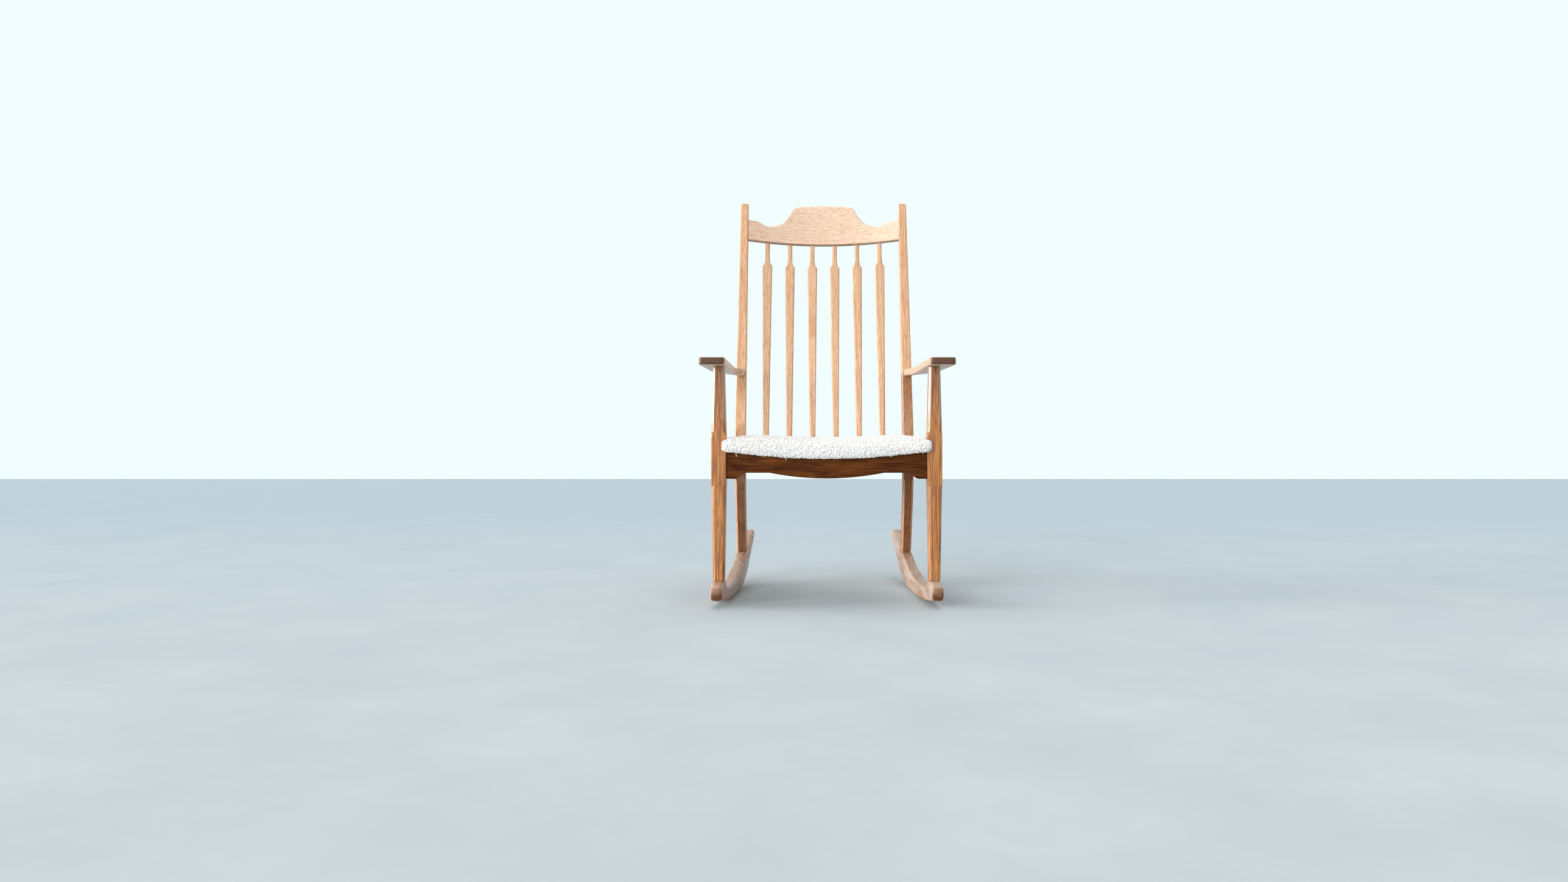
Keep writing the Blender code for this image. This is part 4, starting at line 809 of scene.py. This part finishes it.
@dataclass
class Seat:
    """The drop-in seat: wool loops over a padded ground that swells between its tacked edges."""

    wool: Boucle = field(default_factory=Boucle)
    # Ground of the pad: how far it is dished, bulges over the legs and may sag or swell as cloth.
    voxel: float = 0.0045
    shrink: float = 0.0035
    ground_depth: float = 0.0008
    dish: float = 0.0070
    dish_half: float = 0.235
    dish_low: float = 0.012
    dish_high: float = 0.032
    ear: float = 0.0032
    ear_from: float = 0.20
    ear_to: float = 0.24
    ear_ramp: float = 0.004
    sag: float = 0.0010
    swell: float = 0.0006
    pressure: float = 4.0
    frames: int = 20
    most_move: float = 0.005
    tack_height: float = 0.006
    loose_facing: float = 0.25
    nub: float = 0.0003
    nub_width: float = 0.0045
    # Loops: real ones are about 3 mm apart, and these are drawn coarser so that they show.
    loop_gap: float = 0.0044
    loop_radius: float = 0.0020
    loop_rise: float = 0.0006
    loop_tilt: float = 0.2
    loop_flat: float = 0.3
    front_share: float = 0.42
    clear: float = 0.0002
    post_depth: float = 0.05
    lip_clear: float = 0.003
    lip_facing: float = 0.35
    top_facing: float = -0.3
    seed: int = 7
    # Loose ends of yarn: place along X and length of each, and their shape.
    loose_ends: tuple[Pair, ...] = ((-0.2155, 0.0105), (-0.0925, 0.0075), (0.2305, 0.0055))
    end_sides: int = 6
    end_steps: int = 5
    end_root: float = 0.002
    end_sway: float = 0.0012
    end_lean: float = 0.0006
    end_curl: float = 3.0
    end_phase: float = 40.0
    end_thick: float = 0.7
    end_taper: float = 0.35

    def build(self) -> None:
        """Build the pad, its loops and its loose yarn ends."""
        low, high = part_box("seat_cover")
        pad = self._pad()
        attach(pad, BODY)
        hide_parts("seat_cover", "seat_foam")
        LOG.info("%s: %d faces", pad.name, len(pad.data.polygons))
        split = low.y + (high.y - low.y) * self.front_share
        fleece = [self._loops("seat_loops_front", pad, -math.inf, split),
                  self._loops("seat_loops_rear", pad, split, math.inf), self._yarn_ends(pad)]
        for piece in fleece:
            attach(piece, BODY)
            LOG.info("%s: %d faces", piece.name, len(piece.data.polygons))

    def _pad(self) -> Item:
        """Remesh, shrink and inflate the pad, and give it its nubby ground.

        Returns:
            The padded piece.
        """
        mesh = voxel_mesh("seat_pad", merged_copy("seat_cover", "seat_foam", "seat_board"), self.voxel)
        points = self._rows(mesh, "co")
        normals = self._rows(mesh, "normal")
        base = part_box("front_seat_rail")[1].z
        points[:, 2] -= self._dished(points, base)
        points[:, 0] += self._eared(points)
        limit = points - normals * self.ground_depth
        loose = (normals[:, 2] > self.loose_facing) & (points[:, 2] > base + self.tack_height)
        start = np.where(loose[:, None], points - normals * self.shrink, limit)
        self._set_points(mesh, start)
        pad = put("seat_pad", mesh, self.wool.material("seat_pad"))
        moved = self._inflate(pad, loose) - start
        length = np.linalg.norm(moved, axis=1, keepdims=True)
        moved *= np.minimum(1.0, self.most_move / np.maximum(length, TINY))
        off = start + moved - limit
        along = np.sum(off * normals, axis=1, keepdims=True)
        off += (np.clip(along, -self.sag, self.swell) - along) * normals
        self._set_points(mesh, limit + off)
        pad.modifiers.new("finer", "SUBSURF").levels = 1
        finer = plain_mesh(pad)
        self._nubs(finer)
        return put("seat_pad", finer)

    def _dished(self, points: np.ndarray, base: float) -> np.ndarray:
        """How far years of sitting have pressed each point down.

        Args:
            points: the new pad's points.
            base: height of the rails that carry the pad.

        Returns:
            A depth for each point, greatest in the middle of the top.
        """
        across = np.clip(np.abs(points[:, 0]) / self.dish_half, 0.0, 1.0)
        high = np.clip((points[:, 2] - base - self.dish_low) / (self.dish_high - self.dish_low), 0.0, 1.0)
        return self.dish * np.cos(across * math.pi / 2) ** 2 * high

    def _eared(self, points: np.ndarray) -> np.ndarray:
        """How far the pad's front corners bulge sideways over the faces of the legs.

        Args:
            points: the new pad's points.

        Returns:
            A move along X for each point, none behind the legs' faces.
        """
        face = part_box("left_front_leg")[0].y
        before = np.clip((face - points[:, 1]) / self.ear_ramp, 0.0, 1.0)
        out = np.clip((np.abs(points[:, 0]) - self.ear_from) / (self.ear_to - self.ear_from), 0.0, 1.0)
        return np.sign(points[:, 0]) * self.ear * before * out

    def _yarn_ends(self, pad: Item) -> Item:
        """Hang a few loose yarn ends from the lip's lower edge.

        Args:
            pad: the padded ground.

        Returns:
            The yarn ends as one mesh.
        """
        points = self._rows(pad.data, "co")
        turns = [2 * math.pi * side / self.end_sides for side in range(self.end_sides)]
        bm = bmesh.new()
        for x, length in self.loose_ends:
            near = points[np.abs(points[:, 0] - x) < self.voxel]
            near = near[near[:, 1] < near[:, 1].min() + 2 * self.voxel]
            top = Vector(near[near[:, 2].argmin()])
            rings = []
            for step in range(self.end_steps + 1):
                share = step / self.end_steps
                aside = math.sin(self.end_curl * share + x * self.end_phase) * self.end_sway
                centre = top + Vector((aside, -self.end_lean * share, self.end_root - length * share))
                radius = self.wool.yarn_mm * MILLIMETRE / 2 * (self.end_thick - self.end_taper * share)
                rings.append([bm.verts.new(centre + Vector((math.cos(turn), math.sin(turn), 0.0)) * radius)
                              for turn in turns])
            for upper, lower in zip(rings, rings[1:]):
                for side in range(self.end_sides):
                    after = (side + 1) % self.end_sides
                    bm.faces.new((upper[side], lower[side], lower[after], upper[after]))
            bm.faces.new(rings[0])
            bm.faces.new(reversed(rings[-1]))
        for face in bm.faces:
            face.smooth = True
        name = "seat_yarn_ends"
        return put(name, mesh_of(name, bm), self.wool.material(name))

    @staticmethod
    def _rows(mesh: Mesh, kind: str) -> np.ndarray:
        """Read a vector of every vertex.

        Args:
            mesh: the mesh.
            kind: co for positions, normal for normals.

        Returns:
            One row for each vertex.
        """
        values = np.zeros(len(mesh.vertices) * 3)
        mesh.vertices.foreach_get(kind, values)
        return values.reshape(-1, 3)

    @staticmethod
    def _set_points(mesh: Mesh, points: np.ndarray) -> None:
        """Write vertex positions back to a mesh."""
        mesh.vertices.foreach_set("co", points.astype(np.float32).ravel())
        mesh.update()

    def _inflate(self, pad: Item, loose: np.ndarray) -> np.ndarray:
        """Swell the pad as cloth under pressure, with its edges tacked.

        Args:
            pad: the shrunken pad.
            loose: which points are free to move.

        Returns:
            Positions after the swelling.
        """
        tacks = pad.vertex_groups.new(name="tacked")
        tacks.add([int(index) for index in np.flatnonzero(~loose)], 1.0, "REPLACE")
        cloth = pad.modifiers.new("swell", "CLOTH")
        cloth.settings.vertex_group_mass = "tacked"
        cloth.settings.use_pressure = True
        cloth.settings.uniform_pressure_force = self.pressure
        cloth.settings.effector_weights.gravity = 0.0
        cloth.point_cache.frame_start = 1
        cloth.point_cache.frame_end = self.frames
        for step in range(1, self.frames + 1):
            bpy.context.scene.frame_set(step)
        swollen = plain_mesh(pad, keep=True)
        pad.modifiers.remove(cloth)
        bpy.context.scene.frame_set(1)
        return self._rows(swollen, "co")

    def _nubs(self, mesh: Mesh) -> None:
        """Raise the ground of the cloth into small uneven nubs.

        Args:
            mesh: the subdivided pad.
        """
        points = self._rows(mesh, "co")
        rise = np.array([noise.noise(Vector(point) / self.nub_width) for point in points])
        self._set_points(mesh, points + self._rows(mesh, "normal") * (rise * self.nub)[:, None])

    def _wood_boxes(self) -> list[tuple[np.ndarray, np.ndarray]]:
        """Boxes that no loop may enter: the legs, the posts at seat height and the rear rail.

        Returns:
            Lowest and highest corner of each box, with the loops' reach added.
        """
        reach = self.loop_radius + self.clear
        boxes = []
        sticks = [side + stick for stick in ("_front_leg", "_rear_post") for side in ("left", "right")]
        for node in sticks + ["rear_seat_rail"]:
            low, high = (np.array(corner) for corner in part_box(node))
            if node.endswith("_rear_post"):
                high[1] = low[1] + self.post_depth
            boxes.append((low - reach, high + reach))
        return boxes

    def _loops(self, name: str, pad: Item, low: float, high: float) -> Item:
        """Cover part of the pad with yarn loops.

        Args:
            name: the new piece's name.
            pad: the padded ground.
            low: where this part starts along Y.
            high: where it ends.

        Returns:
            The loops as one plain mesh.
        """
        ground = pad.data.copy()
        points, normals = self._rows(ground, "co"), self._rows(ground, "normal")
        rail_low, rail_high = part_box("front_seat_rail")
        lip = (points[:, 1] < rail_low.y - self.lip_clear) & (normals[:, 1] < self.lip_facing)
        wanted = lip | ((normals[:, 2] > self.top_facing) & (points[:, 2] > rail_high.z))
        wanted &= (points[:, 1] >= low) & (points[:, 1] < high)
        for box_low, box_high in self._wood_boxes():
            wanted &= ~np.all((points > box_low) & (points < box_high), axis=1)
        share = ground.attributes.new("loop_share", "FLOAT", "POINT")
        share.data.foreach_set("value", wanted.astype(np.float32))
        holder = put(name, ground)
        tree = boucle_tree()
        modifier = holder.modifiers.new("loops", "NODES")
        modifier.node_group = tree
        values = {
            "Gap": self.loop_gap, "Loop Radius": self.loop_radius, "Rise": self.loop_rise,
            "Tilt": self.loop_tilt, "Flatness": self.loop_flat, "Seed": self.seed,
            "Yarn Radius": self.wool.yarn_mm * MILLIMETRE / 2, "Yarn": self.wool.material(name),
        }
        for socket in tree.interface.items_tree:
            if socket.name in values:
                modifier[socket.identifier] = values[socket.name]
        return put(name, plain_mesh(holder))


def boucle_tree() -> Tree:
    """Geometry tree that scatters curled yarn over a ground, by its loop_share attribute.

    Returns:
        The tree, with named inputs for its sizes, seed and yarn.
    """
    most_per_square_metre, inner_share, turns, curl_points, thread_sides = 90000.0, 0.7, 1.15, 6, 4
    smallest, largest = 0.75, 1.25
    tree = bpy.data.node_groups.new("boucle_loops", "GeometryNodeTree")
    sizes = ("Gap", "Loop Radius", "Yarn Radius", "Rise", "Tilt", "Flatness")
    kinds = {"Geometry": "Geometry", **dict.fromkeys(sizes, "Float"), "Seed": "Int", "Yarn": "Material"}
    for name, kind in kinds.items():
        tree.interface.new_socket(name, in_out="INPUT", socket_type="NodeSocket" + kind)
    tree.interface.new_socket("Geometry", in_out="OUTPUT", socket_type="NodeSocketGeometry")
    given = add(tree, "NodeGroupInput").outputs
    share = add(tree, "GeometryNodeInputNamedAttribute", {"Name": "loop_share"}, data_type="FLOAT")
    spots = add(tree, "GeometryNodeDistributePointsOnFaces", {
        "Mesh": given["Geometry"], "Distance Min": given["Gap"], "Density Max": most_per_square_metre,
        "Density Factor": share, "Seed": given["Seed"]}, distribute_method="POISSON").outputs
    inner = add(tree, "Math", {0: given["Loop Radius"], 1: inner_share}, operation="MULTIPLY")
    curl = add(tree, "GeometryNodeCurveSpiral", {
        "Resolution": curl_points, "Rotations": turns, "Start Radius": inner,
        "End Radius": given["Loop Radius"], "Height": given["Rise"]})
    thread = add(tree, "GeometryNodeCurvePrimitiveCircle", {
        "Resolution": thread_sides, "Radius": given["Yarn Radius"]})
    yarn = add(tree, "GeometryNodeCurveToMesh", {"Curve": curl, "Profile Curve": thread, "Fill Caps": True})
    least = add(tree, "Math", {0: given["Tilt"], 1: -1.0}, operation="MULTIPLY")
    lowest = add(tree, "CombineXYZ", {0: least, 1: least, 2: 0.0})
    highest = add(tree, "CombineXYZ", {0: given["Tilt"], 1: given["Tilt"], 2: 2 * math.pi})
    turn = add(tree, "FunctionNodeRandomValue", {0: lowest, 1: highest, "Seed": given["Seed"]},
               data_type="FLOAT_VECTOR")
    turned = add(tree, "FunctionNodeRotateRotation", {"Rotation": spots["Rotation"], "Rotate By": turn},
                 rotation_space="LOCAL")
    size = add(tree, "FunctionNodeRandomValue", {2: smallest, 3: largest, "Seed": given["Seed"]},
               data_type="FLOAT")
    low = add(tree, "Math", {0: size, 1: given["Flatness"]}, operation="MULTIPLY")
    shape = add(tree, "CombineXYZ", {0: size, 1: size, 2: low})
    placed = add(tree, "GeometryNodeInstanceOnPoints", {
        "Points": spots["Points"], "Instance": yarn, "Rotation": turned, "Scale": shape})
    real = add(tree, "GeometryNodeRealizeInstances", {0: placed})
    smooth = add(tree, "GeometryNodeSetShadeSmooth", {0: real})
    worn = add(tree, "GeometryNodeSetMaterial", {"Geometry": smooth, "Material": given["Yarn"]})
    add(tree, "NodeGroupOutput", {0: worn})
    return tree


@dataclass(frozen=True)
class Lamp:
    """One broad soft light from far away: where it comes from, how wide it looks and how strong it is."""

    name: str
    place: tuple[float, float, float]
    width: float
    power: float

    def build(self) -> None:
        """Hang the lamp and turn it to the chair."""
        data = bpy.data.lights.new(self.name, "SUN")
        data.energy = self.power
        data.angle = self.width
        lamp = put(self.name, data)
        lamp.location = self.place
        lamp.rotation_euler = (-Vector(self.place)).to_track_quat("-Z", "Y").to_euler()


@dataclass
class Studio:
    """Camera, pale floor and soft light."""

    image: tuple[int, int] = (2576, 1449)
    focal_px: float = 1800.0
    centre_px: Pair = (1326.0, 720.0)
    sensor: float = 36.0
    distance: float = 2.5714
    sideways: float = -0.0461
    eye: float = 0.397
    floor_far: float = 7.8
    floor_reach: float = 14.0
    wall: str = "#f1fdfe"
    light: str = "#ffffff"
    world_light: float = 0.46
    floor: str = "#cfd9dc"
    floor_shade: str = "#c5d1d6"
    far_floor_shade: str = "#b6c9d5"
    floor_bounce: str = "#b4bcc0"
    floor_rough: float = 0.9
    floor_specular: float = 0.1
    cloud_scale: float = 3.0
    cloud_rough: float = 0.62
    cloud_band: Pair = (0.35, 0.65)
    far_shade_band: Pair = (-1.2, 3.0)
    far_shade_most: float = 0.75
    lamps: tuple[Lamp, ...] = (
        Lamp("left_window", (-6.0, -0.6, 0.8), math.radians(31.0), 3.4),
        Lamp("front_fill", (-4.5, -5.5, 1.7), math.radians(42.0), 1.80),
        Lamp("skylight", (0.0, 0.6, 6.0), math.radians(60.0), 0.84),
    )

    def build(self) -> None:
        """Set up camera, floor, lamps and world."""
        self._camera()
        self._floor()
        for lamp in self.lamps:
            lamp.build()
        self._world()
        bpy.context.scene.view_settings.view_transform = "Standard"

    def _camera(self) -> None:
        """Stand the camera where the photograph was taken."""
        data = bpy.data.cameras.new("photo_camera")
        data.sensor_width = self.sensor
        data.lens = self.focal_px * self.sensor / self.image[0]
        data.shift_x = -(self.centre_px[0] / self.image[0] - 0.5)
        data.shift_y = (self.centre_px[1] - self.image[1] / 2) / self.image[0]
        camera = put("photo_camera", data)
        leg_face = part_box("left_front_leg")[0].y
        camera.location = (self.sideways, leg_face - self.distance, self.eye)
        camera.rotation_euler = Euler((math.radians(90.0), 0.0, 0.0))
        bpy.context.scene.camera = camera

    @staticmethod
    def _seen(tree: Tree) -> Node:
        """Tell what the eye sees, straight or in a reflection, from what only lights other things.

        Args:
            tree: the material's or the world's tree.

        Returns:
            One for rays that are seen.
        """
        path = add(tree, "LightPath").outputs
        seen = path["Is Camera Ray"]
        for kind in ("Is Glossy Ray", "Is Transmission Ray"):
            seen = add(tree, "Math", {0: seen, 1: path[kind]}, operation="MAXIMUM")
        return seen

    def _floor(self) -> None:
        """Lay a pale floor of bare concrete, faintly clouded, that ends at the far wall; painted shade
        darkens and blues it far off.
        """
        bm = bmesh.new()
        reach = self.floor_reach
        corners = ((-reach, -reach), (reach, -reach), (reach, self.floor_far), (-reach, self.floor_far))
        bm.faces.new([bm.verts.new((x, y, 0.0)) for x, y in corners])
        made, tree, shader = new_material("bare_concrete")
        coords = add(tree, "TexCoord").outputs["Object"]
        cloud = add(tree, "TexNoise", {
            "Vector": coords, "Scale": self.cloud_scale, "Detail": 7.0, "Roughness": self.cloud_rough})
        share = add(tree, "MapRange", {0: cloud, 1: self.cloud_band[0], 2: self.cloud_band[1]})
        tones = {0: share, 6: linear(self.floor), 7: linear(self.floor_shade)}
        colour = add(tree, "Mix", tones, data_type="RGBA")
        # Painted shade: darker and bluer far off.
        depth = add(tree, "SeparateXYZ", {0: coords}).outputs["Y"]
        near_y, far_y = self.far_shade_band
        far = add(tree, "MapRange", {0: depth, 1: near_y, 2: far_y, 4: self.far_shade_most})
        colour = add(tree, "Mix", {0: far, 6: colour, 7: linear(self.far_floor_shade)}, data_type="RGBA")
        tones = {0: self._seen(tree), 6: linear(self.floor_bounce), 7: colour}
        colour = add(tree, "Mix", tones, data_type="RGBA")
        feed(shader, {
            "Base Color": colour, "Roughness": self.floor_rough, "Specular IOR Level": self.floor_specular})
        put("floor", mesh_of("floor", bm), made)

    def _world(self) -> None:
        """Light evenly from all round, and show a white wall to the camera and in reflections."""
        world = bpy.data.worlds.new("white_room")
        bpy.context.scene.world = world
        world.use_nodes = True
        tree = world.node_tree
        tree.nodes.clear()
        soft = add(tree, "Background", {"Color": linear(self.light), "Strength": self.world_light})
        white = add(tree, "Background", {"Color": linear(self.wall), "Strength": 1.0})
        both = add(tree, "MixShader", {0: self._seen(tree), 1: soft, 2: white})
        add(tree, "OutputWorld", {"Surface": both})


def main() -> None:
    """Build the studio and dress the chair."""
    logging.basicConfig(level=logging.INFO, format="%(name)s: %(message)s")
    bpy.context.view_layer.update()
    Studio().build()
    Timber().build()
    Fittings().dress()
    Seat().build()


if __name__ == "__main__":
    main()
